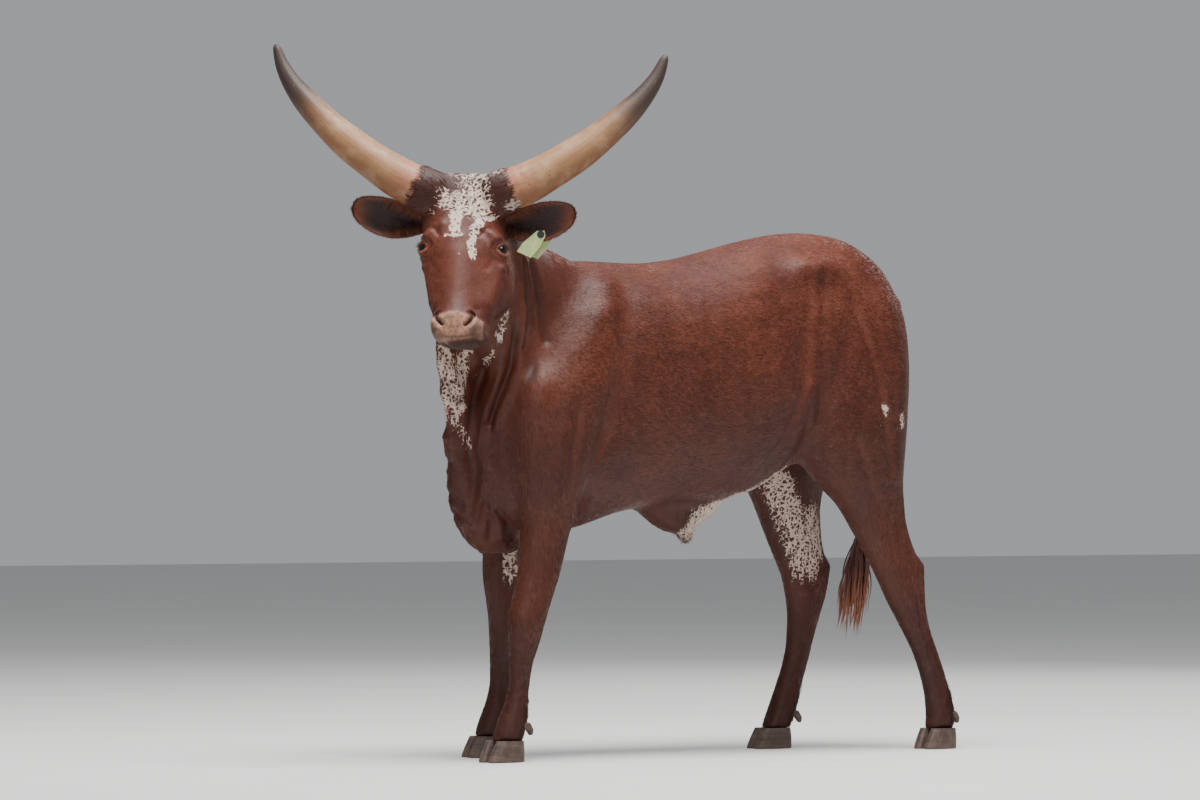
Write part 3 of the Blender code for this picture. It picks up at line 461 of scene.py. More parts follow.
# Where the lids open: an almond in the eye's own axes.
eyeSocket = {
    "turnOut": 46.0,
    "gaze": 30.0,
    "slant": 12.0,
    "halfLong": 0.0170,
    "halfHigh": 0.0118,
    "lidThick": 0.0020,
    "lowerRim": 0.0010,
    "upperRim": 0.0026,
    "holeDeep": 0.0050,
    "foldDeep": 0.0024,
    "bagDeep": 0.0015,
}

muzzleForm = {
    "nostrilLine": [(0.0430, 0.402), (0.0465, 0.411), (0.0430, 0.422), (0.0350, 0.431), (0.0280, 0.437)],
    "nostrilDeep": 0.016,
    "nostrilWide": 0.0050,
    "wingLine": [(0.0560, 0.404), (0.0570, 0.420), (0.0500, 0.438), (0.0380, 0.450)],
    "mouthDown": 0.470,
    "mouthDeep": 0.0070,
    "mouthWidth": 0.0038,
    "wingWide": 0.0075,
    "wingHigh": 0.0042,
    "dipLine": [(0.058, 0.385), (0.066, 0.405)],
    "dipWide": 0.010,
    "dipDeep": 0.0040,
    "plateWide": 0.014,
    "plateHigh": 0.0028,
    "lipHigh": 0.0030,
    "chinHigh": 0.0024,
    "grooveWide": 0.0030,
    "grooveDeep": 0.0022,
}


def eyeAxes(side, key="turnOut"):
    # Outward, sideways (towards the nose) and up directions of one eye.
    turn = math.radians(eyeSocket[key])
    outward = (faceOut * math.cos(turn) + faceSide * (side * math.sin(turn))).normalized()
    upward = (-faceDown + outward * faceDown.dot(outward)).normalized()
    nasal = upward.cross(outward).normalized()
    if nasal.dot(faceSide) * side > 0:
        nasal = -nasal
    slant = math.radians(eyeSocket["slant"])
    long = (nasal * math.cos(slant) - upward * math.sin(slant)).normalized()
    high = (upward * math.cos(slant) + nasal * math.sin(slant)).normalized()
    return outward, long, high


def eyeCentre(side):
    across = side * headPose["eyeSide"] + headPose["eyeShift"]
    return onFace(across, headPose["eyeDown"], headPose["eyeOut"])


def sculptFlanks(points, normals):
    body = bodyCoords(points)
    outwards = softStep(np.abs(normals[:, 0]), 0.15, 0.5)
    onTrunk = softStep(body[:, 2], 0.60, 0.68) * softStep(np.abs(body[:, 0]), 0.05, 0.10)
    face = faceCoords(points)
    offHead = softStep(np.linalg.norm(face - np.array([0.0, 0.22, -0.10]), axis=1), 0.24, 0.30)
    lift = np.zeros(len(points))
    flat = body[:, 1:3]
    for line, width, height in flankForms:
        lift += height * strokeBell(flat, line, width)
    spread = np.linspace(ribForms["first"], ribForms["last"], ribForms["count"])
    for y in spread:
        line = [(y + 0.02, 1.20), (y - 0.01, 1.00), (y + 0.04, 0.80)]
        lift += ribForms["height"] * strokeBell(flat, line, ribForms["width"])
    return lift * outwards * onTrunk * offHead


def sculptThroat(points, normals):
    body = bodyCoords(points)
    lift = np.zeros(len(points))
    for line, width, height in throatForms:
        near = strokeDistance(body, line)
        lift += height * bell(near, width * 1.15) * (near < width * 3.5)
        mirrored = [(-0.030 - p[0] * 0.35, p[1] + 0.01, p[2]) for p in line]
        far = strokeDistance(body, mirrored)
        lift += height * 0.8 * bell(far, width * 1.15) * (far < width * 3.5)
    edge = softStep(-body[:, 1], 0.66, 0.72) * softStep(body[:, 2], 0.56, 0.66)
    edge = edge * softStep(-body[:, 2], -1.10, -1.02)
    sway = 1.2 * np.sin(body[:, 2] * 31.0)
    wave = np.sin(body[:, 2] * 2 * math.pi / dewlapWaves["length"] + sway + body[:, 1] * 60.0)
    lift += edge * dewlapWaves["height"] * wave
    return lift


# Tendons and the grooves beside them, and how far the right fore leg stands behind the left.
legForms = {
    "tendonHigh": 0.0022,
    "tendonWide": 0.010,
    "grooveDeep": 0.0040,
    "grooveWide": 0.009,
    "foreStep": 0.118,
}


def sculptLegs(points, normals):
    f = legForms
    body = bodyCoords(points)
    lift = np.zeros(len(points))
    lower = softStep(-body[:, 2], -0.62, -0.54)
    for hind, side in ((True, 1), (True, -1), (False, 1), (False, -1)):
        mine = softStep(side * body[:, 0], 0.0, 0.02) * ((body[:, 1] > 0.15) == hind)
        local = body[:, 1:3]
        if hind and side > 0:
            tendon = [(0.735, 0.46), (0.748, 0.38), (0.780, 0.26), (0.812, 0.16)]
            groove = [(0.690, 0.44), (0.712, 0.36), (0.745, 0.26), (0.776, 0.17)]
        elif hind:
            tendon = [(0.615, 0.46), (0.590, 0.38), (0.556, 0.28), (0.520, 0.17)]
            groove = [(0.560, 0.44), (0.550, 0.36), (0.528, 0.27), (0.495, 0.17)]
        else:
            back = 0.0 if side > 0 else f["foreStep"]
            tendon = [(-0.535 + back, 0.33), (-0.560 + back, 0.25), (-0.577 + back, 0.16)]
            groove = [(-0.560 + back, 0.34), (-0.585 + back, 0.25), (-0.600 + back, 0.16)]
        sideways = softStep(np.abs(normals[:, 0]), 0.3, 0.7)
        lift += mine * lower * f["tendonHigh"] * strokeBell(local, tendon, f["tendonWide"])
        lift -= mine * lower * sideways * f["grooveDeep"] * strokeBell(local, groove, f["grooveWide"])
    return lift


def sculptFace(points, normals):
    # Forms of the face as moves along the normal.
    face = faceCoords(points)
    isHead = softStep(-np.linalg.norm(face - headMiddle, axis=1), -0.32, -0.28)
    lift = np.zeros(len(points))
    mirrored = face.copy()
    mirrored[:, 0] = np.abs(mirrored[:, 0] + leanAt(face[:, 1]) * face[:, 2])
    for line, width, height in faceForms:
        lift += height * strokeBell(mirrored, line, width)
    for k in range(6):  # wrinkles over the eye
        line = [(0.052 + 0.005 * k, 0.180 - 0.009 * k, 0.004),
                (0.076 + 0.003 * k, 0.166 - 0.010 * k, -0.012),
                (0.104, 0.168 - 0.012 * k, -0.045)]
        lift -= (0.0040 - 0.0003 * k) * strokeBell(mirrored, line, 0.0034)
    for k in range(3):  # wrinkles under the eye
        line = [(0.082, 0.232 + 0.008 * k, -0.014), (0.100, 0.236 + 0.008 * k, -0.036),
                (0.108, 0.230 + 0.008 * k, -0.062)]
        lift -= 0.0014 * strokeBell(mirrored, line, 0.0028)
    return lift * isHead


def sculptMuzzle(points, normals):
    # Nostrils, nose pad, lips and chin as moves in space.
    face = faceCoords(points)
    move = np.zeros_like(points)
    m = muzzleForm
    front = softStep(face[:, 2], -0.055, -0.020)
    for side in (-1, 1):
        near = strokeDistance(face[:, :2], [(side * x, y) for x, y in m["nostrilLine"]])
        wide = np.interp(face[:, 1], (0.402, 0.438), (m["nostrilWide"] * 1.25, m["nostrilWide"] * 0.70))
        deep = bell(near, wide) * front
        inward = -np.array(faceOut) * 0.85 + np.array(faceSide) * (side * 0.30) - np.array(faceDown) * 0.30
        move += deep[:, None] * inward * m["nostrilDeep"]
        wing = strokeBell(face[:, :2], [(side * x, y) for x, y in m["wingLine"]], m["wingWide"])
        move += (wing * front * m["wingHigh"])[:, None] * normals
        dip = strokeBell(face[:, :2], [(side * x, y) for x, y in m["dipLine"]], m["dipWide"])
        move -= (dip * front * m["dipDeep"])[:, None] * normals
    plate = strokeBell(face[:, :2], [(-0.014, 0.412), (0.014, 0.412)], m["plateWide"]) * front
    move += (plate * m["plateHigh"])[:, None] * normals
    bow = (face[:, 0] / 0.066) ** 2
    mouthLine = m["mouthDown"] - 0.012 * np.clip(bow, 0, 1.6) - 0.10 * np.clip(-0.045 - face[:, 2], 0, 0.07)
    gap = face[:, 1] - mouthLine
    along = softStep(face[:, 2], -0.135, -0.115) * (np.abs(face[:, 0]) < 0.095)
    muzzle = softStep(face[:, 1], 0.36, 0.40)
    crease = bell(gap, m["mouthWidth"]) * along * muzzle
    move -= crease[:, None] * normals * m["mouthDeep"]
    lip = bell(gap + 0.012, 0.007) * along * muzzle
    chin = bell(gap - 0.010, 0.006) * along * muzzle
    move += (m["lipHigh"] * lip + m["chinHigh"] * chin)[:, None] * normals
    groove = bell(face[:, 0], m["grooveWide"]) * softStep(face[:, 1], 0.435, 0.450)
    groove = groove * softStep(face[:, 2], -0.05, -0.02)
    move -= groove[:, None] * normals * m["grooveDeep"]
    return move


def sculptEyes(points, normals):
    # Opens the skin over each eyeball and raises the lids around it.
    e = eyeSocket
    moved = points.copy()
    for side in (-1, 1):
        outward, long, high = (np.array(v) for v in eyeAxes(side))
        centre = np.array(eyeCentre(side))
        away = points - centre
        x = away @ long
        y = away @ high
        z = away @ outward
        ring = np.sqrt((x / e["halfLong"]) ** 2 + (y / e["halfHigh"]) ** 2)
        ring = ring * (1.0 - 0.10 * np.sin(np.arctan2(y, x) * 2.0) * (x > 0))
        front = (z > -0.004) & (np.linalg.norm(away, axis=1) < 0.075)
        dist = np.linalg.norm(away, axis=1)
        radius = headPose["eyeRadius"]
        upper = softStep(y / e["halfHigh"], -0.1, 0.7)
        rim = (e["lowerRim"] + e["upperRim"] * upper) * bell(ring - 1.20, 0.20)
        lidSurface = radius + e["lidThick"] + rim
        hug = softStep(-ring, -2.4, -1.25) * front
        target = centre + away / np.maximum(dist, 1e-6)[:, None] * lidSurface[:, None]
        moved += (target - moved) * hug[:, None]
        hole = softStep(-ring, -1.04, -0.88) * front
        inner = centre + away / np.maximum(dist, 1e-6)[:, None] * (radius - e["holeDeep"])
        moved += (inner - moved) * hole[:, None]
        fold = bell(ring - 2.05, 0.16) * (y > -0.002) * front
        moved -= normals * (fold * e["foldDeep"])[:, None]
        bag = bell(ring - 1.95, 0.14) * (y < 0.0) * front
        moved -= normals * (bag * e["bagDeep"])[:, None]
    return moved


def sculptSkin(skin):
    mesh = skin.data
    for worker in (sculptFlanks, sculptThroat, sculptLegs, sculptFace):
        points = readPoints(mesh)
        normals = readNormals(mesh)
        writePoints(mesh, points + normals * worker(points, normals)[:, None])
    relax(skin, np.ones(len(mesh.vertices)), 2)
    points = readPoints(mesh)
    writePoints(mesh, points + sculptMuzzle(points, readNormals(mesh)))
    points = readPoints(mesh)
    normals = readNormals(mesh)
    face = faceCoords(points)
    depth = np.where(withinHead(face), skinShape["coatDepth"] * 0.5, skinShape["coatDepth"])
    points = points - normals * depth[:, None]
    writePoints(mesh, sculptEyes(points, normals))
    print("skin sculpted")


# White of the blaze: side and down points on the face, width, strength.
blazeStrokes = [
    ([(-0.030, -0.020), (-0.026, 0.004), (0.020, 0.008), (0.086, 0.006)], 0.015, 0.52),
    ([(0.028, -0.060), (0.026, 0.030), (0.036, 0.058)], 0.048, 0.53),
    ([(-0.044, 0.068), (-0.010, 0.074), (0.050, 0.064)], 0.026, 0.61),
    ([(-0.044, 0.090), (-0.014, 0.104), (0.030, 0.102), (0.056, 0.090)], 0.023, 0.65),
    ([(-0.012, 0.122), (0.034, 0.124)], 0.016, 0.60),
    ([(-0.018, 0.112), (-0.012, 0.140), (-0.013, 0.168)], 0.022, 0.70),
    ([(-0.034, 0.184), (0.004, 0.182)], 0.008, 0.70),
    ([(0.058, 0.108), (0.052, 0.138), (0.042, 0.160)], 0.018, 0.69),
    ([(0.040, 0.172), (0.030, 0.204), (0.036, 0.238)], 0.015, 0.71),
    ([(0.064, 0.130), (0.086, 0.113), (0.108, 0.102)], 0.0075, 0.74),
    ([(0.112, 0.084), (0.147, 0.062)], 0.010, 0.72),
    ([(0.000, 0.236), (0.003, 0.238)], 0.006, 0.66),
    ([(-0.074, 0.106), (-0.072, 0.108)], 0.007, 0.66),
]

# White of throat, belly, thighs and knees: body points, width, strength.
bodyStrokes = [
    ([(0.070, -0.785, 1.085), (0.066, -0.778, 1.030), (0.070, -0.768, 0.975),
      (0.071, -0.769, 0.935)], 0.034, 0.62),
    ([(0.085, -0.730, 1.085), (0.065, -0.722, 1.020), (0.079, -0.743, 0.961),
      (0.066, -0.745, 0.915)], 0.026, 0.62),
    ([(0.153, -0.668, 1.106), (0.105, -0.668, 1.055), (0.062, -0.675, 1.002)], 0.016, 0.52),
    ([(0.185, -0.669, 1.165), (0.150, -0.671, 1.101), (0.084, -0.662, 1.040)], 0.020, 0.45),
    ([(0.059, -0.755, 0.902), (0.058, -0.729, 0.863), (0.040, -0.700, 0.824)], 0.020, 0.47),
    ([(0.020, -0.780, 1.080), (0.020, -0.775, 0.980), (0.020, -0.765, 0.900)], 0.040, 0.66),
    ([(-0.020, -0.120, 0.690), (-0.010, 0.020, 0.600)], 0.040, 0.30),
    ([(0.000, 0.060, 0.610), (0.000, 0.180, 0.680), (0.000, 0.300, 0.740)], 0.070, 0.85),
    ([(0.060, 0.160, 0.680), (0.100, 0.260, 0.740)], 0.050, 0.66),
    ([(-0.085, 0.400, 0.720), (-0.085, 0.470, 0.600), (-0.090, 0.510, 0.500)], 0.058, 0.63),
    ([(-0.085, 0.530, 0.640), (-0.085, 0.560, 0.540)], 0.045, 0.60),
    ([(0.060, 0.440, 0.760), (0.080, 0.520, 0.660)], 0.050, 0.50),
    ([(0.200, -0.400, 0.700), (0.200, -0.380, 0.660)], 0.022, 0.55),
    ([(-0.080, -0.480, 0.560), (-0.080, -0.470, 0.480)], 0.030, 0.55),
    ([(0.170, 0.670, 1.000), (0.165, 0.680, 0.860)], 0.022, 0.60),
    ([(0.215, 0.600, 0.905), (0.213, 0.602, 0.880)], 0.014, 0.66),
    ([(0.223, 0.534, 0.931), (0.222, 0.540, 0.915)], 0.012, 0.80),
    ([(0.190, 0.650, 0.930), (0.180, 0.660, 0.820)], 0.016, 0.50),
]


def markSkin(points, normals):
    # Shares at points: white and dark hair, with painted shade in dark and lips; bare pad, nostrils painted
    # with shade, lid rims and upright hair.
    face = faceCoords(points)
    body = bodyCoords(points)
    isHead = nearHeadMiddle(face, 0.34)
    frontal = softStep(face[:, 2], -0.045, -0.020) * isHead
    white = np.zeros(len(points))
    flat = face[:, :2]
    for line, width, strength in blazeStrokes:
        near = strokeDistance(flat, line)
        white = np.maximum(white, strength * softStep(-near, -width * 1.35, -width * 0.25) * frontal)
    for line, width, strength in bodyStrokes:
        near = strokeDistance(body, line)
        white = np.maximum(white, strength * softStep(-near, -width * 1.5, -width * 0.3))
    speckle = softStep(np.abs(body[:, 0]), 0.12, 0.18) * softStep(body[:, 1], 0.10, 0.35)
    speckle = speckle * softStep(-body[:, 2], -1.20, -0.95)
    white = np.maximum(white, 0.13 * speckle * (body[:, 2] > 0.62))
    # Dark share: dark hair on the lower legs and the poll, darker towards the bottom of the trunk, and
    # painted shade under the body and in the throat folds.
    dark = np.maximum(0.85 * softStep(-body[:, 2], -0.62, -0.20),
                      0.42 * softStep(-body[:, 2], -1.02, -0.72))
    dark = np.maximum(dark, 0.75 * softStep(-face[:, 1], -0.14, -0.03) * isHead)
    # Painted shade: skin that faces down is darkened.
    dark = np.maximum(dark, 0.45 * softStep(-normals[:, 2], 0.2, 0.9) * (body[:, 2] > 0.5))
    # Painted shade in the throat and dewlap folds: the grooves are darkened.
    for line, width, height in throatForms:
        if height < -0.004:
            dark = np.maximum(dark, 0.90 * strokeBell(body, line, width * 1.15))
    bowPad = 0.395 + 0.35 * np.abs(face[:, 0]) ** 1.2
    pad = softStep(face[:, 1], bowPad, bowPad + 0.012) * softStep(face[:, 2], -0.075, -0.045)
    pad = pad * (np.abs(face[:, 0]) < 0.075)
    lipEnd = muzzleForm["mouthDown"] - 0.003 - 0.012 * np.clip((face[:, 0] / 0.066) ** 2, 0, 1.6)
    pad *= softStep(lipEnd - face[:, 1], 0.0, 0.007)
    pad *= isHead
    # Lips: the dark lip skin together with painted shade along the mouth line, on the chin below it and in
    # the mouth corners.
    lips = softStep(face[:, 1], 0.452, 0.470) * softStep(face[:, 2], -0.140, -0.115) * isHead
    cheekLip = 0.9 * softStep(face[:, 1], 0.40, 0.43) * softStep(face[:, 2], -0.125, -0.105)
    lips = np.maximum(lips * 0.8, cheekLip * softStep(-face[:, 2], 0.060, 0.078) * isHead)
    # Painted shade in the mouth corners.
    mouthCornerShade = strokeBell(np.abs(flat), [(0.050, 0.452), (0.068, 0.438)], 0.010) * isHead
    lips = np.maximum(lips, mouthCornerShade * 0.95)
    lips = np.maximum(lips, bell(face[:, 1] - lipEnd - 0.004, 0.005) * (face[:, 2] > -0.12) * isHead)
    lips = np.maximum(lips * (1.0 - pad), mouthCornerShade * 0.9)
    # Nostrils: painted shade darkens the nostril openings.
    nostril = np.zeros(len(points))
    for side in (-1, 1):
        near = strokeDistance(flat, [(side * x, y) for x, y in muzzleForm["nostrilLine"]])
        taper = np.interp(flat[:, 1], (0.402, 0.440), (0.0064, 0.0036))
        nostril = np.maximum(nostril, softStep(-near / taper, -1.15, -0.45) * frontal)
    rims = np.zeros(len(points))
    for side in (-1, 1):
        outward, long, high = (np.array(v) for v in eyeAxes(side))
        away = points - np.array(eyeCentre(side))
        rise = (away @ high) / eyeSocket["halfHigh"]
        ring = np.sqrt(((away @ long) / eyeSocket["halfLong"]) ** 2 + rise ** 2)
        near = (away @ outward) > 0.0
        share = 0.15 + 0.80 * softStep(-rise, -0.2, 0.6)
        close = np.linalg.norm(away, axis=1) < 0.04
        rims = np.maximum(rims, share * softStep(-ring, -1.34, -1.10) * near * close)
    legs = softStep(-body[:, 2], -0.75, -0.60)
    neckShare = softStep(-body[:, 1], 0.50, 0.62) * (1.0 - legs)
    return {"white": white, "dark": dark, "pad": pad, "lips": lips, "nostril": nostril, "rim": rims,
            "upright": np.maximum(legs, neckShare)}


def storeMarks(mesh, marks):
    for name, values in marks.items():
        layer = mesh.attributes.new(name, "FLOAT", "POINT")
        layer.data.foreach_set("value", values.astype(np.float32))


# Materials

def addNode(tree, kind, settings=None, **inputs):
    node = tree.nodes.new(kind)
    for key, value in (settings or {}).items():
        setattr(node, key, value)
    for key, value in inputs.items():
        node.inputs[key.replace("_", " ")].default_value = value
    return node


def newSurface(name, **constants):
    material = bpy.data.materials.new(name)
    material.use_nodes = True
    tree = material.node_tree
    shader = tree.nodes["Principled BSDF"]
    for key, value in constants.items():
        shader.inputs[key.replace("_", " ")].default_value = value
    return material, tree, shader


def mixColour(tree, factor, first, second):
    node = addNode(tree, "ShaderNodeMix", {"data_type": "RGBA"})
    for slot, value in ((0, factor), (6, first), (7, second)):
        if hasattr(value, "is_output"):
            tree.links.new(value, node.inputs[slot])
        else:
            node.inputs[slot].default_value = (*value, 1.0) if slot else value
    return node.outputs[2]


def mixValue(tree, factor, first, second):
    node = addNode(tree, "ShaderNodeMix", {"data_type": "FLOAT"})
    for slot, value in ((0, factor), (2, first), (3, second)):
        tree.links.new(value, node.inputs[slot])
    return node.outputs[0]


def mathNode(tree, operation, first, second, clamp=False):
    node = addNode(tree, "ShaderNodeMath", {"operation": operation, "use_clamp": clamp})
    for slot, value in ((0, first), (1, second)):
        if hasattr(value, "is_output"):
            tree.links.new(value, node.inputs[slot])
        else:
            node.inputs[slot].default_value = value
    return node.outputs[0]


def times(tree, first, second):
    return mathNode(tree, "MULTIPLY", first, second)


def plus(tree, first, second, clamp=False):
    return mathNode(tree, "ADD", first, second, clamp)


def objectPlace(tree):
    return addNode(tree, "ShaderNodeTexCoord").outputs["Object"]


def noiseAt(tree, vector, scale, detail=2.0, roughness=0.5):
    node = addNode(tree, "ShaderNodeTexNoise", Scale=scale, Detail=detail, Roughness=roughness)
    tree.links.new(vector, node.inputs["Vector"])
    return node.outputs["Fac"]


def stretched(tree, vector, scale):
    node = addNode(tree, "ShaderNodeMapping", Scale=scale)
    tree.links.new(vector, node.inputs["Vector"])
    return node.outputs["Vector"]


def attribute(tree, name):
    return addNode(tree, "ShaderNodeAttribute", {"attribute_name": name}).outputs["Fac"]


def ramp(tree, value, low, high):
    node = addNode(tree, "ShaderNodeMapRange", {"clamp": True, "interpolation_type": "SMOOTHSTEP"})
    node.inputs["From Min"].default_value = low
    node.inputs["From Max"].default_value = high
    tree.links.new(value, node.inputs["Value"])
    return node.outputs["Result"]


def cellsAt(tree, vector, scale, feature="DISTANCE_TO_EDGE"):
    node = addNode(tree, "ShaderNodeTexVoronoi", {"feature": feature}, Scale=scale)
    tree.links.new(vector, node.inputs["Vector"])
    return node.outputs["Distance"]


def blend(tree, value, low, high, first, second):
    return mixColour(tree, ramp(tree, value, low, high), first, second)


def stain(tree, tone, value, low, high, share, colour):
    return mixColour(tree, times(tree, ramp(tree, value, low, high), share), tone, colour)


def linkTone(tree, shader, tone, grain, amount, least):
    tree.links.new(tone, shader.inputs["Base Color"])
    tree.links.new(plus(tree, times(tree, grain, amount), least), shader.inputs["Roughness"])


def linkBump(tree, shader, layers):
    # Stacks bump layers of (height, strength, distance) into the shader's normal.
    previous = None
    for height, strength, distance in layers:
        bump = addNode(tree, "ShaderNodeBump", Strength=strength, Distance=distance)
        tree.links.new(height, bump.inputs["Height"])
        if previous is not None:
            tree.links.new(previous, bump.inputs["Normal"])
        previous = bump.outputs["Normal"]
    tree.links.new(previous, shader.inputs["Normal"])


coatColours = {
    "red": (0.074, 0.0148, 0.0070),
    # deep also colours the painted shade that the dark share lays under the body and in the folds
    "deep": (0.020, 0.0046, 0.0028),
    "warm": (0.118, 0.0275, 0.0125),
    "dust": (0.160, 0.085, 0.062),
    "white": (0.600, 0.490, 0.410),
    "pad": (0.310, 0.160, 0.102),
    "padDark": (0.150, 0.068, 0.043),
    "rim": (0.235, 0.078, 0.038),
    "whiteShade": (0.40, 0.29, 0.235),
    # lip and lipDark also colour the painted shade on the chin and in the mouth corners
    "lip": (0.034, 0.016, 0.011),
    "lipDark": (0.015, 0.008, 0.006),
    # nostril: painted shade in the nostril openings
    "nostril": (0.040, 0.017, 0.012),
}


# A group for the skin and its tufts: colour and roughness, and heights for the relief of the skin.
def coatPattern():
    tree = bpy.data.node_groups.new("coatPattern", "ShaderNodeTree")
    for name in ("Streak Depth", "Dust Share"):
        tree.interface.new_socket(name, in_out="INPUT", socket_type="NodeSocketFloat")
    tree.interface.new_socket("Colour", in_out="OUTPUT", socket_type="NodeSocketColor")
    for name in ("Roughness", "Patch", "Hair", "Pebble"):
        tree.interface.new_socket(name, in_out="OUTPUT", socket_type="NodeSocketFloat")
    given = addNode(tree, "NodeGroupInput").outputs
    c = coatColours
    place = objectPlace(tree)
    upright = attribute(tree, "upright")
    white = attribute(tree, "white")
    pad = attribute(tree, "pad")
    lips = attribute(tree, "lips")
    lying = noiseAt(tree, stretched(tree, place, (420.0, 46.0, 420.0)), 1.0, 3.0, 0.6)
    hanging = noiseAt(tree, stretched(tree, place, (420.0, 420.0, 46.0)), 1.0, 3.0, 0.6)
    streak = mixValue(tree, upright, lying, hanging)
    broad = noiseAt(tree, place, 3.2, 3.0, 0.55)
    patch = noiseAt(tree, place, 17.0, 4.0, 0.6)
    base = blend(tree, broad, 0.35, 0.68, c["red"], c["warm"])
    base = stain(tree, base, patch, 0.42, 0.70, 0.22, c["deep"])
    base = stain(tree, base, streak, 0.40, 0.66, given["Streak Depth"], c["deep"])
    # The dark share darkens the coat: dark hair, and painted shade under the body and in the folds.
    base = mixColour(tree, times(tree, attribute(tree, "dark"), 0.80), base, c["deep"])
    dust = noiseAt(tree, place, 42.0, 5.0, 0.65)
    base = stain(tree, base, dust, 0.50, 0.74, given["Dust Share"], c["dust"])
    tallGrain = noiseAt(tree, stretched(tree, place, (92.0, 92.0, 24.0)), 1.0, 6.0, 0.72)
    grain = mixValue(tree, upright, noiseAt(tree, place, 74.0, 6.0, 0.74), tallGrain)
    bent = addNode(tree, "ShaderNodeVectorMath", {"operation": "MULTIPLY_ADD"})
    wander = addNode(tree, "ShaderNodeTexNoise", Scale=70.0, Detail=2.0)
    tree.links.new(place, wander.inputs["Vector"])
    tree.links.new(wander.outputs["Color"], bent.inputs[0])
    bent.inputs[1].default_value = (0.014, 0.014, 0.014)
    tree.links.new(place, bent.inputs[2])
    holes = times(tree, ramp(tree, cellsAt(tree, bent.outputs[0], 84.0), 0.34, 0.02), 0.34)
    flecks = times(tree, noiseAt(tree, place, 260.0), 0.55)
    ragged = plus(tree, plus(tree, times(tree, grain, 1.50), holes), flecks)
    ragged = plus(tree, ragged, white)
    patchWhite = times(tree, ramp(tree, ragged, 1.74, 1.86), ramp(tree, white, 0.02, 0.14))
    whiteHair = blend(tree, streak, 0.30, 0.72, c["white"], c["whiteShade"])
    base = mixColour(tree, patchWhite, base, whiteHair)
    padTone = blend(tree, noiseAt(tree, place, 90.0, 4.0, 0.6), 0.38, 0.66, c["pad"], c["padDark"])
    base = mixColour(tree, pad, base, padTone)
    # Lip skin, with painted shade along the mouth, on the chin and in the mouth corners.
    lipTone = blend(tree, patch, 0.35, 0.65, c["lip"], c["lipDark"])
    base = mixColour(tree, times(tree, lips, 0.85), base, lipTone)
    # Painted shade in the nostrils.
    base = mixColour(tree, attribute(tree, "nostril"), base, c["nostril"])
    base = mixColour(tree, attribute(tree, "rim"), base, c["rim"])
    roughness = plus(tree, times(tree, streak, 0.24), 0.39)
    roughness = plus(tree, roughness, times(tree, patchWhite, 0.18), True)
    roughness = plus(tree, roughness, times(tree, lips, 0.25), True)
    padBump = times(tree, ramp(tree, cellsAt(tree, place, 330.0), 0.0, 0.35), pad)
    hair = times(tree, streak, mathNode(tree, "SUBTRACT", 1.0, pad))
    result = addNode(tree, "NodeGroupOutput")
    for name, value in (("Colour", base), ("Roughness", roughness), ("Patch", patch), ("Hair", hair),
                        ("Pebble", padBump)):
        tree.links.new(value, result.inputs[name])
    return tree


def coatSurface(name, pattern, relief):
    material, tree, shader = newSurface(name, Specular_IOR_Level=0.30, Sheen_Weight=0.05,
                                        Sheen_Roughness=0.35, Sheen_Tint=(0.85, 0.62, 0.55, 1.0))
    coat = addNode(tree, "ShaderNodeGroup", {"node_tree": pattern}, Streak_Depth=0.42, Dust_Share=0.16)
    tree.links.new(coat.outputs["Colour"], shader.inputs["Base Color"])
    tree.links.new(coat.outputs["Roughness"], shader.inputs["Roughness"])
    if relief:
        linkBump(tree, shader, ((coat.outputs["Patch"], 0.22, 0.0040), (coat.outputs["Hair"], 0.55, 0.0012),
                                (coat.outputs["Pebble"], 0.45, 0.0010)))
    return material


hornColours = {
    "root": (0.360, 0.115, 0.072),
    "lower": (0.270, 0.138, 0.062),
    "upper": (0.260, 0.130, 0.062),
    # under: painted shade on the undersides of the horns
    "under": (0.160, 0.058, 0.018),
    "fibre": (0.150, 0.072, 0.038),
    "cloud": (0.400, 0.265, 0.150),
    "tip": (0.042, 0.026, 0.021),
    "pit": (0.110, 0.055, 0.035),
}


def hornSurface():
    material, tree, shader = newSurface("hornSheath", Specular_IOR_Level=0.30)
    c = hornColours
    place = objectPlace(tree)
    along = attribute(tree, "along")
    lines = addNode(tree, "ShaderNodeCombineXYZ")
    turns = [(attribute(tree, "turnX"), 9.0), (attribute(tree, "turnY"), 9.0), (along, 5.0)]
    for slot, (value, scale) in enumerate(turns):
        tree.links.new(times(tree, value, scale), lines.inputs[slot])
    fibre = noiseAt(tree, lines.outputs[0], 1.6, 5.0, 0.62)
    cloud = noiseAt(tree, place, 22.0, 4.0, 0.6)
    tone = blend(tree, along, 0.03, 0.24, c["root"], c["lower"])
    tone = blend(tree, along, 0.28, 0.66, tone, c["upper"])
    # Painted shade: the sheath is darker where it faces down.
    tone = stain(tree, tone, attribute(tree, "under"), 0.20, 0.72, 0.88, c["under"])
    tone = stain(tree, tone, fibre, 0.42, 0.68, 0.55, c["fibre"])
    tone = stain(tree, tone, cloud, 0.45, 0.70, 0.34, c["cloud"])
    tone = blend(tree, plus(tree, along, times(tree, fibre, 0.30)), 0.66, 0.94, tone, c["tip"])
    chosen = ramp(tree, noiseAt(tree, place, 31.0), 0.50, 0.60)
    spot = times(tree, ramp(tree, cellsAt(tree, place, 58.0, "F1"), 0.20, 0.10), chosen)
    tone = mixColour(tree, times(tree, spot, 0.85), tone, c["pit"])
    linkTone(tree, shader, tone, fibre, 0.30, 0.36)
    linkBump(tree, shader, ((fibre, 0.35, 0.0016), (spot, -0.5, 0.0010), (cloud, 0.25, 0.0030)))
    return material


hoofColours = {
    "horn": (0.070, 0.041, 0.028),
    "ring": (0.032, 0.019, 0.014),
    "cloud": (0.130, 0.085, 0.058),
    "soil": (0.090, 0.058, 0.040),
}


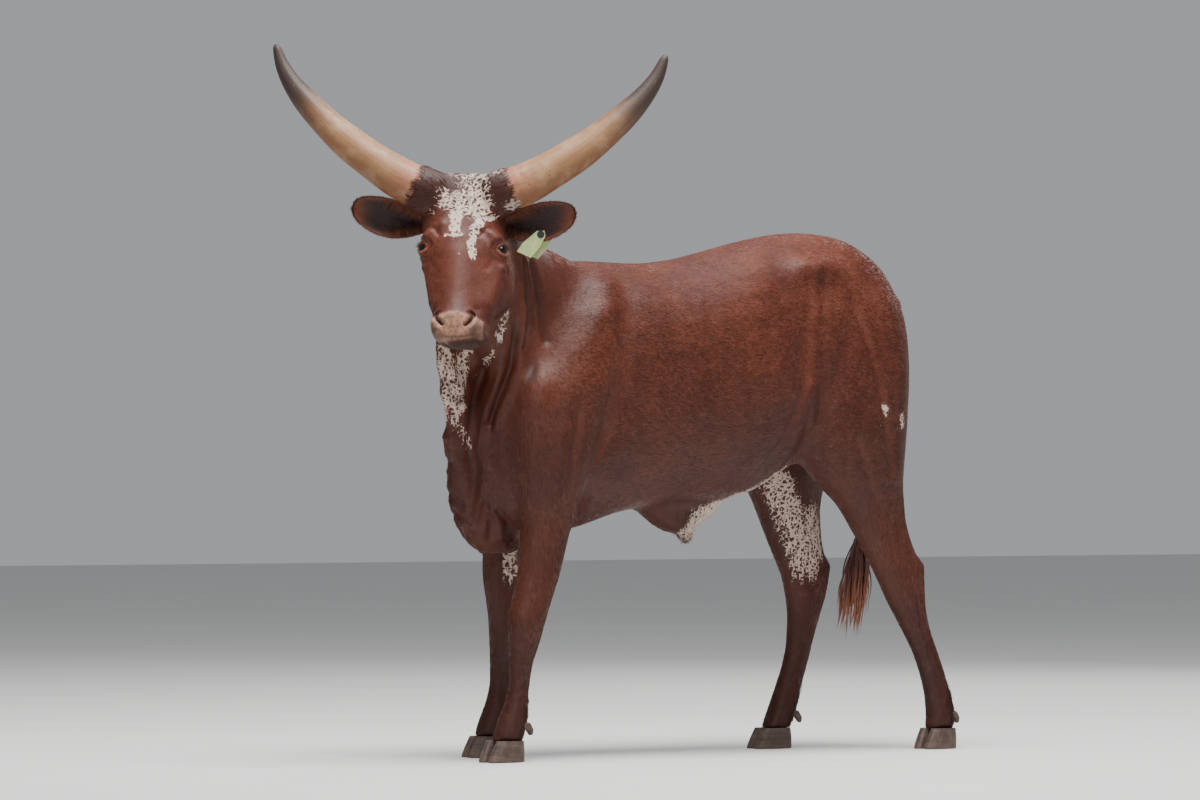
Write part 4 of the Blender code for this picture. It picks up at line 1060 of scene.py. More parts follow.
def hoofSurface():
    material, tree, shader = newSurface("hoofHorn")
    c = hoofColours
    place = objectPlace(tree)
    rings = noiseAt(tree, stretched(tree, place, (14.0, 14.0, 520.0)), 1.0, 3.0, 0.6)
    fibre = noiseAt(tree, stretched(tree, place, (520.0, 520.0, 30.0)), 1.0, 3.0, 0.6)
    cloud = noiseAt(tree, place, 40.0, 4.0, 0.6)
    height = addNode(tree, "ShaderNodeSeparateXYZ")
    tree.links.new(place, height.inputs[0])
    tone = blend(tree, rings, 0.38, 0.64, c["horn"], c["ring"])
    tone = stain(tree, tone, cloud, 0.44, 0.66, 0.55, c["cloud"])
    tone = stain(tree, tone, height.outputs["Z"], 0.022, 0.004, 0.6, c["soil"])
    linkTone(tree, shader, tone, cloud, 0.35, 0.40)
    linkBump(tree, shader, ((rings, 0.5, 0.0012), (fibre, 0.35, 0.0006)))
    return material


eyeColours = {
    "iris": (0.014, 0.006, 0.004),
    "irisRay": (0.005, 0.003, 0.003),
    "white": (0.030, 0.014, 0.010),
    "whiteShade": (0.012, 0.007, 0.006),
    "pupil": (0.002, 0.002, 0.003),
}


def eyeSurface():
    material, tree, shader = newSurface("wetEye", Specular_IOR_Level=0.28, Coat_Weight=0.10,
                                        Coat_Roughness=0.03)
    c = eyeColours
    place = objectPlace(tree)
    rays = noiseAt(tree, place, 700.0, 3.0, 0.6)
    white = blend(tree, noiseAt(tree, place, 260.0), 0.4, 0.7, c["white"], c["whiteShade"])
    tone = mixColour(tree, rays, c["iris"], c["irisRay"])
    tone = blend(tree, attribute(tree, "iris"), 0.92, 1.12, tone, white)
    tone = blend(tree, attribute(tree, "pupil"), 1.10, 0.90, tone, c["pupil"])
    linkTone(tree, shader, tone, rays, 0.04, 0.03)
    return material


# The ear tag: where its buttons sit in the head's axes, their radius, and the colours.
tagForm = {
    "x": 0.202,
    "z": -0.147,
    "front": 0.030,
    "back": 0.0765,
    "button": 0.0102,
    "buttonEdge": 0.0006,
    "plastic": (0.430, 0.540, 0.190),
    "faded": (0.600, 0.660, 0.350),
    "scuffed": (0.260, 0.270, 0.130),
    "buttonColour": (0.010, 0.010, 0.011),
}


def tagSurface():
    material, tree, shader = newSurface("tagPlastic", Subsurface_Weight=0.15,
                                        Subsurface_Radius=(0.004, 0.004, 0.002))
    t = tagForm
    place = objectPlace(tree)
    cloud = noiseAt(tree, place, 60.0, 4.0, 0.6)
    scuff = noiseAt(tree, stretched(tree, place, (240.0, 240.0, 900.0)), 1.0, 4.0, 0.7)
    tone = blend(tree, cloud, 0.35, 0.70, t["plastic"], t["faded"])
    tone = stain(tree, tone, scuff, 0.54, 0.72, 0.5, t["scuffed"])
    for depth in (t["front"], t["back"]):
        away = addNode(tree, "ShaderNodeVectorMath", {"operation": "DISTANCE"})
        tree.links.new(place, away.inputs[0])
        away.inputs[1].default_value = onHead(t["x"], depth, t["z"])
        rim = t["button"] - t["buttonEdge"]
        tone = blend(tree, away.outputs["Value"], t["button"], rim, tone, t["buttonColour"])
    linkTone(tree, shader, tone, scuff, 0.3, 0.32)
    linkBump(tree, shader, ((cloud, 0.3, 0.0010), (scuff, 0.25, 0.0003)))
    return material


earColours = {
    "back": (0.078, 0.018, 0.012),
    "backStreak": (0.032, 0.008, 0.006),
    # hollow: the ear's dark skin together with painted shade in the cup
    "hollow": (0.014, 0.0042, 0.0036),
    "rim": (0.190, 0.052, 0.024),
    "innerStreak": (0.075, 0.026, 0.018),
}


def earSurface():
    material, tree, shader = newSurface("earSkin", Sheen_Weight=0.06, Specular_IOR_Level=0.30)
    c = earColours
    streak = noiseAt(tree, stretched(tree, objectPlace(tree), (300.0, 90.0, 300.0)), 1.0, 4.0, 0.6)
    outer = blend(tree, streak, 0.35, 0.68, c["back"], c["backStreak"])
    # The inner face is darkest in the middle of the cup, painted shade over the ear's dark skin, and lighter
    # to the rim and tip.
    inner = blend(tree, attribute(tree, "rimShare"), 0.35, 0.95, c["hollow"], c["rim"])
    inner = stain(tree, inner, streak, 0.42, 0.66, 0.5, c["innerStreak"])
    tone = mixColour(tree, attribute(tree, "inside"), outer, inner)
    linkTone(tree, shader, tone, streak, 0.3, 0.36)
    linkBump(tree, shader, ((streak, 0.6, 0.0010),))
    return material


# Pieces

def linkMesh(name, points, faces, material):
    mesh = bpy.data.meshes.new(name)
    mesh.from_pydata([tuple(p) for p in points], [], faces)
    mesh.update()
    item = placeObject(name, mesh)
    mesh.materials.append(material)
    mesh.shade_smooth()
    return item


def curveRows(rows, steps):
    data = np.array(rows, dtype=float)
    padded = np.vstack([2 * data[0] - data[1], data, 2 * data[-1] - data[-2]])
    filled = []
    for i in range(1, len(padded) - 2):
        p0, p1, p2, p3 = padded[i - 1:i + 3]
        for s in range(steps):
            t = s / steps
            filled.append(0.5 * (2 * p1 + (p2 - p0) * t + (2 * p0 - 5 * p1 + 4 * p2 - p3) * t ** 2
                                 + (3 * p1 - p0 - 3 * p2 + p3) * t ** 3))
    filled.append(padded[-2])
    return np.array(filled)


hornShape = {
    "path": [
        (0.075, 0.012, -0.046, 0.048), (0.105, 0.014, -0.040, 0.0545), (0.165, 0.020, -0.014, 0.053),
        (0.240, 0.032, 0.031, 0.049), (0.320, 0.048, 0.088, 0.043), (0.395, 0.064, 0.155, 0.036),
        (0.450, 0.078, 0.215, 0.028), (0.485, 0.088, 0.268, 0.020), (0.504, 0.094, 0.316, 0.012),
        (0.508, 0.096, 0.330, 0.006),
    ],
    "sides": 56,
    "steps": 20,
    "groove": 0.0011,
    "ring": 0.0009,
}


def makeHorn(side, material):
    rows = curveRows(hornShape["path"], hornShape["steps"])
    centres = np.array([onHead(r[0] * side, r[1], r[2])[:] for r in rows])
    lengths = np.concatenate([[0.0], np.cumsum(np.linalg.norm(np.diff(centres, axis=0), axis=1))])
    lengths /= lengths[-1]
    count = hornShape["sides"]
    chance = np.random.default_rng(11 + side)
    phases = chance.uniform(0.0, 6.28, 8)
    points, marks = [], []
    across = np.array(headTurn @ Vector((0.0, 1.0, 0.0)))
    for k, centre in enumerate(centres):
        forward = centres[min(k + 1, len(centres) - 1)] - centres[max(k - 1, 0)]
        forward /= np.linalg.norm(forward)
        across = across - forward * (across @ forward)
        across /= np.linalg.norm(across)
        upward = np.cross(forward, across) * side
        u = lengths[k]
        for j in range(count):
            angle = 2 * math.pi * j / count
            ridge = sum(math.sin(angle * n + phases[i] + 2.0 * u) / n for i, n in enumerate((7, 11, 17)))
            grow = hornShape["groove"] * ridge * (0.35 + 1.2 * u * (1.0 - u ** 6))
            grow += hornShape["ring"] * math.sin(u * 150.0 + phases[4]) * max(0.0, 1.0 - u * 4.0)
            grow += 0.0012 * math.sin(u * 23.0 + 2.0 * angle + phases[5]) * (1.0 - u)
            radius = rows[k][3] + grow * min(1.0, rows[k][3] / 0.02)
            direction = across * math.cos(angle) + upward * math.sin(angle)
            points.append(centre + direction * radius)
            # under: how far the surface faces down, for the painted shade of the underside.
            marks.append((u, max(0.0, -direction[2] * 0.8 + 0.2), math.cos(angle), math.sin(angle)))
    faces = tubeFaces(len(centres), count, closed=False)
    points.append(centres[-1] + (centres[-1] - centres[-3]) * 0.35)
    marks.append((1.0, 0.0, 0.0, 0.0))
    last = (len(centres) - 1) * count
    for j in range(count):
        faces.append((last + j, last + (j + 1) % count, len(points) - 1))
    horn = linkMesh(sideName(side, "HornSheath"), points, faces, material)
    fixOutward(horn)
    storeMarks(horn.data, dict(zip(("along", "under", "turnX", "turnY"), np.array(marks).T)))
    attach(horn, "root")
    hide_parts("left_horn" if side > 0 else "right_horn")


def fixOutward(item):
    bm = bmesh.new()
    bm.from_mesh(item.data)
    bmesh.ops.recalc_face_normals(bm, faces=bm.faces)
    bm.to_mesh(item.data)
    bm.free()


earShape = {
    "root": (0.090, 0.052, -0.128),
    "tip": (0.290, 0.052, -0.093),
    "halfHeight": 0.048,
    "cup": 0.026,
    "thickness": 0.0062,
    "along": 56,
    "across": 32,
}


def earPoint(side, u, v, depth):
    # A point of the ear: u to the tip, v across, depth from the front face (0) to the back (1).
    e = earShape
    root = Vector((e["root"][0] * side, e["root"][1], e["root"][2]))
    tip = Vector((e["tip"][0] * side, e["tip"][1], e["tip"][2]))
    grow = min(1.0, 0.36 + 0.64 * math.sin(min(1.0, u / 0.55) * math.pi / 2))
    shut = math.sqrt(max(0.0, 1.0 - max(0.0, (u - 0.50) / 0.50) ** 2.2))
    half = e["halfHeight"] * grow * shut + 0.0012
    cup = e["cup"] * (0.9 * (1.0 - u) + 0.35) * min(1.0, half / 0.02)
    centre = root + (tip - root) * u
    centre.z -= 0.006 * math.sin(math.pi * u)
    bend = v * math.radians(62.0)
    y = cup * (math.cos(bend) - math.cos(math.radians(62.0))) * 1.9 - 0.012
    z = half * math.sin(bend) / math.sin(math.radians(62.0))
    ripple = 0.0016 * math.sin(u * 9.0 + v * 4.0 * side) * (1.0 - abs(v))
    y += ripple + 0.0012 * math.sin(v * 11.0) * (1.0 - u)
    thin = e["thickness"] * (1.2 - 0.55 * u) * (1.0 - 0.62 * abs(v) ** 3)
    return onHead(*(centre + Vector((0.0, y + thin * (depth - 0.5), z * (1.0 + 0.02 * depth)))))


def makeEar(side, material):
    e = earShape
    points, marks = [], []
    steps = range(e["across"] + 1)
    for i in range(e["along"] + 1):
        u = i / e["along"]
        for depth, order in ((0.0, steps), (1.0, reversed(steps))):
            for j in order:
                v = -1.0 + 2.0 * j / e["across"]
                points.append(earPoint(side, u, v, depth))
                marks.append((1.0 - depth, max(abs(v) ** 2, u ** 3)))
    faces = tubeFaces(e["along"] + 1, 2 * len(steps))
    ear = linkMesh(sideName(side, "EarSkin"), points, faces, material)
    fixOutward(ear)
    storeMarks(ear.data, dict(zip(("inside", "rimShare"), np.array(marks).T)))
    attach(ear, "root")
    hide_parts("left_ear" if side > 0 else "right_ear")
    return ear


# Radii of the iris and of the pupil, and the width and height of the clear bulge before them.
eyeShape = {"iris": 0.0170, "pupil": (0.0100, 0.0058), "bulge": (0.0115, 0.0010)}


def makeEye(side, material):
    radii = (headPose["eyeRadius"],) * 3
    ball = addBall(sideName(side, "EyeBall"), eyeCentre(side), radii, faceTurn(), 64, 48)
    mesh = ball.data
    outward, long, high = (np.array(v) for v in eyeAxes(side, "gaze"))
    away = readPoints(mesh) - np.array(eyeCentre(side))
    x = away @ long
    y = away @ high
    z = away @ outward
    reach = np.sqrt(x * x + y * y)
    iris = np.where(z > 0, reach / eyeShape["iris"], 2.0)
    pupil = np.where(z > 0, np.sqrt((x / eyeShape["pupil"][0]) ** 2 + (y / eyeShape["pupil"][1]) ** 2), 3.0)
    width, height = eyeShape["bulge"]
    bulge = bell(reach, width) * (z > 0)
    writePoints(mesh, readPoints(mesh) + outward * (bulge * height)[:, None])
    storeMarks(mesh, {"iris": iris, "pupil": pupil})
    mesh.materials.clear()
    mesh.materials.append(material)
    mesh.shade_smooth()
    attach(ball, "root")
    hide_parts("left_eye" if side > 0 else "right_eye")


def dressNode(name, material, edge):
    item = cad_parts[name]
    if not item.data.materials:
        item.data.materials.append(material)
    for slot in item.material_slots:
        slot.link = "OBJECT"
        slot.material = material
    bevel = item.modifiers.new("softEdge", "BEVEL")
    bevel.width = edge
    bevel.segments = 2
    bevel.limit_method = "ANGLE"
    bevel.angle_limit = math.radians(40.0)


lashForm = {"count": 40, "length": 0.0135, "width": 0.0008, "from": 12.0, "to": 168.0}


def makeLashes(material):
    # Lashes along each upper lid, as thin curved spikes.
    f = lashForm
    chance = random.Random(9)
    points, faces = [], []
    for side in (-1, 1):
        outward, long, high = eyeAxes(side)
        reach = headPose["eyeRadius"] + 0.0034
        for k in range(f["count"]):
            step = k + chance.random() * 0.7
            turn = math.radians(f["from"] + (f["to"] - f["from"]) * step / f["count"])
            flat = (long * (math.cos(turn) * eyeSocket["halfLong"] * 1.10)
                    + high * (math.sin(turn) * eyeSocket["halfHigh"] * 1.10))
            root = eyeCentre(side) + flat + outward * math.sqrt(max(0.0, reach ** 2 - flat.length ** 2))
            ahead = outward * 0.95 + high * (0.10 + 0.25 * chance.random()) + long * (math.cos(turn) * 0.55)
            ahead = ahead.normalized()
            size = f["length"] * chance.uniform(0.6, 1.1)
            across = ahead.cross(high).normalized()
            start = len(points)
            for u, wide in ((-0.15, 1.0), (0.5, 0.75)):
                centre = root + ahead * (size * u) - high * (size * 0.16 * math.sin(max(0.0, u) * 3.14))
                for angle in (0.0, 2.094, 4.189):
                    offset = across * math.cos(angle) + high * math.sin(angle)
                    points.append(centre + offset * (f["width"] * wide * 0.5))
            points.append(root + ahead * size + high * (size * 0.12))
            faces += [(start, start + 2, start + 1)]
            for a in range(3):
                b = (a + 1) % 3
                faces.append((start + a, start + b, start + 3 + b, start + 3 + a))
                faces.append((start + 3 + a, start + 3 + b, start + 6))
    lashes = linkMesh("eyeLashes", points, faces, material)
    fixOutward(lashes)
    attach(lashes, "root")


lashColours = {"dark": (0.022, 0.010, 0.007), "light": (0.050, 0.022, 0.014)}


def lashSurface():
    material, tree, shader = newSurface("lashHair", Roughness=0.45)
    cloud = noiseAt(tree, objectPlace(tree), 400.0)
    tone = mixColour(tree, cloud, lashColours["dark"], lashColours["light"])
    tree.links.new(tone, shader.inputs["Base Color"])
    return material


# Tufts

def surfaceSamples(item, density, count, seed):
    # Seeded points on a mesh: places, normals, triangle corners and their shares.
    mesh = item.data
    mesh.calc_loop_triangles()
    corners = readArray(mesh.loop_triangles, "vertices")
    loops = readArray(mesh.loop_triangles, "loops")
    points = readPoints(mesh)
    normals = readNormals(mesh)
    a, b, c = (points[corners[:, k]] for k in range(3))
    area = np.linalg.norm(np.cross(b - a, c - a), axis=1) / 2.0
    weight = area * density[corners].mean(axis=1)
    chance = np.random.default_rng(seed)
    picked = chance.choice(len(corners), size=count, p=weight / weight.sum())
    r1 = np.sqrt(chance.random(count))
    r2 = chance.random(count)
    share = np.stack([1 - r1, r1 * (1 - r2), r1 * r2], 1)
    tri = corners[picked]
    place = (points[tri] * share[:, :, None]).sum(1)
    normal = (normals[tri] * share[:, :, None]).sum(1)
    normal /= np.linalg.norm(normal, axis=1)[:, None]
    return place, normal, tri, loops[picked], share


def flowAt(place, normal):
    # The lie of the coat.
    body = bodyCoords(place)
    face = faceCoords(place)
    back = np.tile(np.array([0.0, 1.0, -0.28]), (len(place), 1))
    down = np.tile(np.array([0.0, 0.12, -1.0]), (len(place), 1))
    neck = np.tile(np.array([-0.10, 0.55, -0.80]), (len(place), 1))
    legs = softStep(-body[:, 2], -0.78, -0.60)[:, None]
    front = softStep(-body[:, 1], 0.42, 0.56)[:, None]
    flow = back * (1 - front) + neck * front
    flow = flow * (1 - legs) + down * legs
    isHead = nearHeadMiddle(face, 0.33)
    lower = softStep(face[:, 1], 0.15, 0.24)[:, None]
    sideways = np.array(faceSide) * np.sign(face[:, 0])[:, None]
    upper = -np.array(faceDown) * 0.75 + sideways * 0.9 - np.array(faceOut) * 0.3
    cheek = softStep(-face[:, 2], 0.05, 0.12)[:, None]
    facial = np.array(faceDown) * (1 - cheek) + (np.array(faceDown) * 0.5 - np.array(faceOut) * 0.8) * cheek
    head = upper * (1 - lower) + facial * lower
    flow = np.where(isHead[:, None], head, flow)
    return tangent(flow, normal)


def tangent(flow, normal):
    flow = flow - normal * (flow * normal).sum(1)[:, None]
    return flow / np.maximum(np.linalg.norm(flow, axis=1), 1e-6)[:, None]


def hangingFlow(place, normal):
    return tangent(np.tile(np.array([0.0, 0.10, -1.0]), (len(place), 1)), normal)


def earMiddle(place, side):
    # The nearest point of the ear's long axis.
    root = np.array(onHead(earShape["root"][0] * side, *earShape["root"][1:]))
    tip = np.array(onHead(earShape["tip"][0] * side, *earShape["tip"][1:]))
    axis = tip - root
    share = np.clip((place - root) @ axis / (axis @ axis), 0.0, 1.0)
    return root + share[:, None] * axis, axis / np.linalg.norm(axis)


def earInward(place, side):
    spread = place - earMiddle(place, side)[0]
    return spread / np.maximum(np.linalg.norm(spread, axis=1), 1e-6)[:, None]


def earFlow(place, normal, side):
    return tangent(earInward(place, side) * 0.8 + earMiddle(place, side)[1], normal)


# Tufts: how many, length, width and lift off the skin; short ones are single leaves.
tuftForms = {
    "body": {"count": 46000, "length": 0.013, "width": 0.0016, "lift": 0.035, "short": True},
    "fetlock": {"count": 3200, "length": 0.020, "width": 0.0018, "lift": 0.16, "short": False},
    "sheath": {"count": 420, "length": 0.034, "width": 0.0020, "lift": 0.12, "short": False},
    "poll": {"count": 6000, "length": 0.024, "width": 0.0026, "lift": 0.08, "short": False},
    "face": {"count": 30000, "length": 0.0065, "width": 0.0011, "lift": 0.03, "short": True},
    "earFringe": {"count": 7000, "length": 0.0085, "width": 0.0010, "lift": 0.16, "short": True},
    "earHair": {"count": 900, "length": 0.026, "width": 0.0013, "lift": 0.30, "short": False},
}


def growTufts(name, item, density, kind, seed, material, flow=flowAt):
    form = tuftForms[kind]
    count = form["count"]
    place, normal, tri, loops, share = surfaceSamples(item, density, count, seed)
    chance = np.random.default_rng(seed + 1)
    direction = flow(place, normal)
    turn = chance.normal(0.0, 0.22, count)[:, None]
    across = np.cross(normal, direction)
    direction = direction * np.cos(turn) + across * np.sin(turn)
    across = np.cross(normal, direction)
    long = (form["length"] * chance.uniform(0.65, 1.25, count))[:, None]
    wide = (form["width"] * chance.uniform(0.7, 1.3, count))[:, None]
    rise = (form["lift"] * chance.uniform(0.6, 1.4, count))[:, None]
    sway = chance.normal(0.0, 0.10, count)[:, None]
    thick = wide * 0.30
    root = place - normal * (0.0012 + thick)
    middle = place + direction * long * 0.45 + normal * long * rise + across * long * sway * 0.3
    end = place + direction * long + normal * long * rise * 0.5 + across * long * sway
    if form["short"]:
        root = place - normal * 0.0010
        verts = [root - across * wide * 0.5, root + across * wide * 0.5,
                 place + normal * wide * 0.42 + direction * long * 0.25, end]
        lean = [normal - across * 0.35, normal + across * 0.35, normal, normal + direction * 0.15]
        pattern = np.array([[0, 2, 1], [0, 3, 2], [2, 3, 1], [1, 3, 0]])
        patch = np.array([[0, 0], [1, 0], [0.5, 0.4], [0.5, 1.0]]) * 0.003
    else:
        verts = [root - across * wide * 0.5, root + across * wide * 0.5, root + normal * thick * 1.6,
                 middle - across * wide * 0.42, middle + across * wide * 0.42, middle + normal * thick, end]
        lean = [normal - across * 0.45, normal + across * 0.45, normal,
                normal - across * 0.45, normal + across * 0.45, normal, normal + direction * 0.2]
        pattern = np.array([[0, 1, 4], [0, 4, 3], [1, 2, 5], [1, 5, 4], [2, 0, 3], [2, 3, 5],
                            [3, 4, 6], [4, 5, 6], [5, 3, 6], [0, 2, 1]])
        patch = np.array([[0, 0], [1, 0], [0.5, 0.3], [0.1, 0.6], [0.9, 0.6], [0.5, 0.7], [0.5, 1.0]])
        patch = patch * 0.003
    each = len(verts)
    verts = np.stack(verts, 1).reshape(-1, 3)
    lean = np.stack(lean, 1).reshape(-1, 3)
    lean /= np.linalg.norm(lean, axis=1)[:, None]
    faces = (pattern[None, :, :] + (np.arange(count) * each)[:, None, None]).reshape(-1, 3)
    mesh = bpy.data.meshes.new(name)
    mesh.vertices.add(len(verts))
    mesh.vertices.foreach_set("co", verts.astype(np.float32).ravel())
    mesh.loops.add(len(faces) * 3)
    mesh.loops.foreach_set("vertex_index", faces.astype(np.int32).ravel())
    mesh.polygons.add(len(faces))
    mesh.polygons.foreach_set("loop_start", np.arange(0, len(faces) * 3, 3, dtype=np.int32))
    mesh.polygons.foreach_set("loop_total", np.full(len(faces), 3, dtype=np.int32))
    mesh.update(calc_edges=True)
    # The tufts take the skin's shares, and with them the painted shade in dark, lips and nostril.
    marks = {}
    for source in item.data.attributes:
        if source.data_type == "FLOAT" and source.domain == "POINT" and not source.name.startswith("."):
            marks[source.name] = np.repeat((readMark(item.data, source.name)[tri] * share).sum(1), each)
    storeMarks(mesh, marks)
    unwrap = item.data.uv_layers.active
    if unwrap is not None:
        flat = readArray(unwrap.data, "uv", 2, np.float32)
        rootUv = (flat[loops] * share[:, :, None]).sum(1)
        own = (rootUv[:, None, :] + patch[None, :, :]).reshape(-1, 2)
        layer = mesh.uv_layers.new(name="OFBake")
        layer.data.foreach_set("uv", np.clip(own[faces.ravel()], 0.0, 1.0).astype(np.float32).ravel())
    piece = placeObject(name, mesh)
    mesh.materials.append(material)
    mesh.shade_smooth()
    mesh.normals_split_custom_set_from_vertices(lean.astype(np.float32))
    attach(piece, "root")
    print(name, "faces", len(faces))


def unwrapPiece(item):
    activate(item)
    bpy.ops.object.mode_set(mode="EDIT")
    bpy.ops.mesh.select_all(action="SELECT")
    bpy.ops.uv.smart_project(angle_limit=math.radians(66.0), island_margin=0.004)
    bpy.ops.object.mode_set(mode="OBJECT")
    item.data.uv_layers.active.name = "OFBake"


switchShape = {
    "top": (-0.150, 0.732, 0.562),
    "locks": 96,
    "length": 0.215,
    "width": 0.0105,
    "sides": 5,
    "steps": 9,
}


def makeSwitch(material):
    # The tail's brush: tapered locks that hang, overlap and part at their tips.
    s = switchShape
    chance = random.Random(5)
    top = inBody(*s["top"])
    points, faces, marks = [], [], []
    for n in range(s["locks"]):
        angle = 2.0 * math.pi * (n * 0.381966 % 1.0)
        level = (n / (s["locks"] - 1.0)) ** 0.9
        outward = Vector((math.cos(angle), math.sin(angle), 0.0))
        sideways = Vector((-math.sin(angle), math.cos(angle), 0.0))
        root = top + outward * 0.010 + Vector((-0.010 * level, -0.010 * level, 0.020 - 0.120 * level))
        length = s["length"] * (0.62 + 0.45 * chance.random()) * (1.0 - 0.25 * level)
        flare = 0.012 + 0.022 * chance.random()
        wander = chance.uniform(-0.012, 0.012)
        curl = chance.uniform(2.0, 5.5)
        start = len(points)
        for k in range(s["steps"] + 1):
            u = k / s["steps"]
            centre = (root + outward * (flare * math.sin(min(1.0, u * 1.3) * 1.9))
                      + sideways * (wander * u * u + 0.003 * math.sin(curl * u + n)))
            centre = centre + Vector((-0.012, -0.010, 0.0)) * (u * u)
            centre.z -= length * u
            wide = s["width"] * (0.55 + 0.9 * u * (1.0 - u)) * (1.0 - u ** 2.2) + 0.0007
            for j in range(s["sides"]):
                turn = 2.0 * math.pi * j / s["sides"]
                points.append(centre + sideways * (wide * 0.5 * math.cos(turn))
                              + outward * (wide * 0.26 * math.sin(turn)))
                marks.append((u, level))
        faces += tubeFaces(s["steps"] + 1, s["sides"], start)
    brush = linkMesh("tailBrush", points, faces, material)
    fixOutward(brush)
    storeMarks(brush.data, dict(zip(("tip", "level"), np.array(marks).T)))
    mesh = brush.data
    layer = mesh.uv_layers.new(name="OFBake")
    per = (s["steps"] + 1) * s["sides"]
    loopVerts = readArray(mesh.loops, "vertex_index", 1)[:, 0]
    lock = loopVerts // per
    inner = (loopVerts % per) // s["sides"]
    around = (loopVerts % per) % s["sides"]
    uv = np.stack([0.05 + 0.9 * (lock % 12) / 12.0 + 0.06 * around / s["sides"],
                   0.05 + 0.9 * (lock // 12) / 8.0 + 0.09 * inner / s["steps"]], 1)
    layer.data.foreach_set("uv", uv.astype(np.float32).ravel())
    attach(brush, "root")
    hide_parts("tail_switch")


brushColours = {"root": (0.070, 0.018, 0.012), "tip": (0.300, 0.095, 0.042), "streak": (0.080, 0.024, 0.014)}


def brushSurface():
    material, tree, shader = newSurface("tailHair")
    c = brushColours
    strand = noiseAt(tree, stretched(tree, objectPlace(tree), (700.0, 700.0, 30.0)), 1.0, 3.0, 0.6)
    bleached = plus(tree, attribute(tree, "tip"), times(tree, attribute(tree, "level"), 0.5))
    tone = blend(tree, bleached, 0.35, 1.15, c["root"], c["tip"])
    tone = stain(tree, tone, strand, 0.40, 0.66, 0.5, c["streak"])
    linkTone(tree, shader, tone, strand, 0.25, 0.35)
    linkBump(tree, shader, ((strand, 0.7, 0.0010),))
    return material


# Stage, light and camera

studio = {
    "fitTurn": 35.0,
    "fitAway": 17.0,
    "fitAside": 0.20,
    "eyeHeight": 0.76,
    "pixelsPerUnit": 6358.0,
    "horizonRow": 469.5,
    "picture": (1200.0, 800.0),
    "sensor": 36.0,
    "floorDark": (0.62, 0.61, 0.59),
    "floorLight": (0.68, 0.67, 0.65),
    "sky": (0.86, 0.89, 0.93, 1.0),
    "skyStrength": 0.42,
}
# Round area lights: where, aimed at, watts, width.
studioLamps = {
    "overhead": ((1.4, -0.6, 6.5), (0.0, 0.1, 0.9), 1050.0, 4.5),
    "frontFill": ((7.0, -6.5, 3.2), (0.0, -0.2, 0.9), 130.0, 5.0),
    "backEdge": ((-3.5, 5.5, 4.0), (0.0, 0.2, 1.0), 160.0, 4.0),
}


def makeStudio():
    clearSelection()
    bpy.ops.mesh.primitive_plane_add(size=60.0, location=(0.0, 0.0, 0.0))
    floor = bpy.context.active_object
    floor.name = "studioFloor"
    material, tree, shader = newSurface("paleFloor", Roughness=0.85)
    place = objectPlace(tree)
    tone = mixColour(tree, noiseAt(tree, place, 1.5, 3.0, 0.5), studio["floorDark"], studio["floorLight"])
    tree.links.new(tone, shader.inputs["Base Color"])
    floor.data.materials.append(material)
    world = bpy.data.worlds.new("softSky")
    bpy.context.scene.world = world
    world.use_nodes = True
    background = world.node_tree.nodes["Background"]
    background.inputs["Color"].default_value = studio["sky"]
    background.inputs["Strength"].default_value = studio["skyStrength"]
    for name, (place, aim, power, size) in studioLamps.items():
        light = bpy.data.lights.new(name, "AREA")
        light.energy = power
        light.shape = "DISK"
        light.size = size
        lamp = placeObject(name, light)
        lamp.location = place
        lamp.rotation_euler = (Vector(aim) - Vector(place)).to_track_quat("-Z", "Y").to_euler()


def makeCamera():
    turn = math.radians(studio["fitTurn"])
    away = Vector((-math.cos(turn), math.sin(turn), 0.0))
    right = Vector((math.sin(turn), math.cos(turn), 0.0))
    place = Vector((bodyShift.x, bodyShift.y, 0.0)) - away * studio["fitAway"] - right * studio["fitAside"]
    place.z = studio["eyeHeight"]
    camera = bpy.data.cameras.new("photoCamera")
    camera.sensor_width = studio["sensor"]
    camera.lens = studio["pixelsPerUnit"] / studio["picture"][0] * studio["sensor"]
    camera.clip_end = 200.0
    item = placeObject("photoCamera", camera)
    item.location = place
    rise = math.atan((studio["horizonRow"] - studio["picture"][1] / 2.0) / studio["pixelsPerUnit"])
    aim = away * math.cos(rise) + Vector((0.0, 0.0, math.sin(rise)))
    item.rotation_euler = aim.to_track_quat("-Z", "Y").to_euler()
    bpy.context.scene.camera = item


# The model

skin = makeSkin()
sculptSkin(skin)
storeMarks(skin.data, markSkin(readPoints(skin.data), readNormals(skin.data)))
pattern = coatPattern()
coat = coatSurface("redCoat", pattern, True)
hair = coatSurface("redTufts", pattern, False)
skin.data.materials.clear()
skin.data.materials.append(coat)
skin.data.shade_smooth()
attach(skin, "root")
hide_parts(*fleshNodes)
print("skin ready")

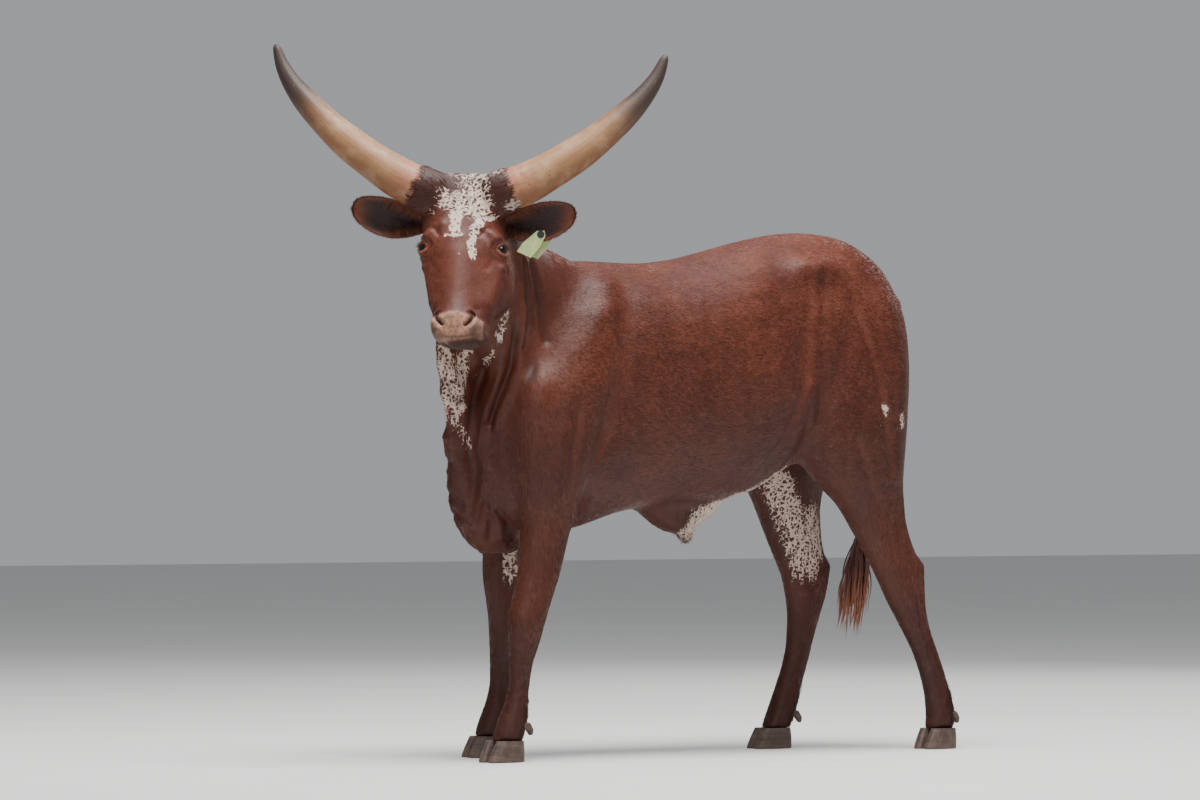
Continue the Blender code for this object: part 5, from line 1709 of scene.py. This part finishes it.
hornMaterial = hornSurface()
earMaterial = earSurface()
eyeMaterial = eyeSurface()
ears = []
for side in (-1, 1):
    makeHorn(side, hornMaterial)
    ears.append(makeEar(side, earMaterial))
    makeEye(side, eyeMaterial)
hoofMaterial = hoofSurface()
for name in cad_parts:
    if "claw" in name:
        dressNode(name, hoofMaterial, 0.0015)
tagMaterial = tagSurface()
for name in ("tag_front", "tag_back"):
    dressNode(name, tagMaterial, 0.0006)
makeLashes(lashSurface())
makeSwitch(brushSurface())
print("horns, ears, eyes, hooves, tags and tail brush ready")

unwrapPiece(skin)
print("skin unwrapped")

skinPoints = readPoints(skin.data)
skinFace = faceCoords(skinPoints)
skinBody = bodyCoords(skinPoints)
headShare = nearHeadMiddle(skinFace, 0.33)
trunkDensity = np.where(headShare, 0.0, 1.0)
for part in range(4):
    growTufts("bodyTufts" + str(part + 1), skin, trunkDensity, "body", 30 + part, hair)
fetlock = softStep(-skinBody[:, 2], -0.19, -0.13) * softStep(readNormals(skin.data)[:, 1], 0.1, 0.6)
sheathAt = np.array([0.0, 0.036, 0.580])
sheathTip = softStep(-np.linalg.norm(skinBody - sheathAt, axis=1), -0.040, -0.015)
growTufts("fetlockTufts", skin, fetlock, "fetlock", 41, hair)
growTufts("sheathTufts", skin, sheathTip, "sheath", 43, hair, flow=hangingFlow)
pollDensity = softStep(-skinFace[:, 1], -0.14, -0.06) * headShare * (skinFace[:, 2] > -0.16)
growTufts("pollTufts", skin, pollDensity + 1e-6, "poll", 5, hair)
faceDensity = headShare * (skinFace[:, 1] > 0.06) * (skinFace[:, 1] < 0.40)
growTufts("faceTufts", skin, faceDensity.astype(float), "face", 7, hair)

for side, ear in zip((-1, 1), ears):
    unwrapPiece(ear)
    rimShare = readMark(ear.data, "rimShare")
    reach = (readPoints(ear.data) - np.array(onHead(0.09 * side, 0.05, -0.12))) @ np.array(faceSide * side)
    innerShare = readMark(ear.data, "inside") * (rimShare > 0.30) * softStep(-reach, -0.13, -0.03)
    growTufts(sideName(side, "EarFringe"), ear, rimShare.astype(float) ** 3 + 0.02, "earFringe", 51 + side,
              earMaterial, flow=lambda place, normal: earFlow(place, normal, side))
    growTufts(sideName(side, "EarHair"), ear, innerShare, "earHair", 61 + side, earMaterial,
              flow=lambda place, normal: earFlow(place, normal, side) * 0.4 - earInward(place, side))
print("ear hair ready")

makeStudio()
makeCamera()
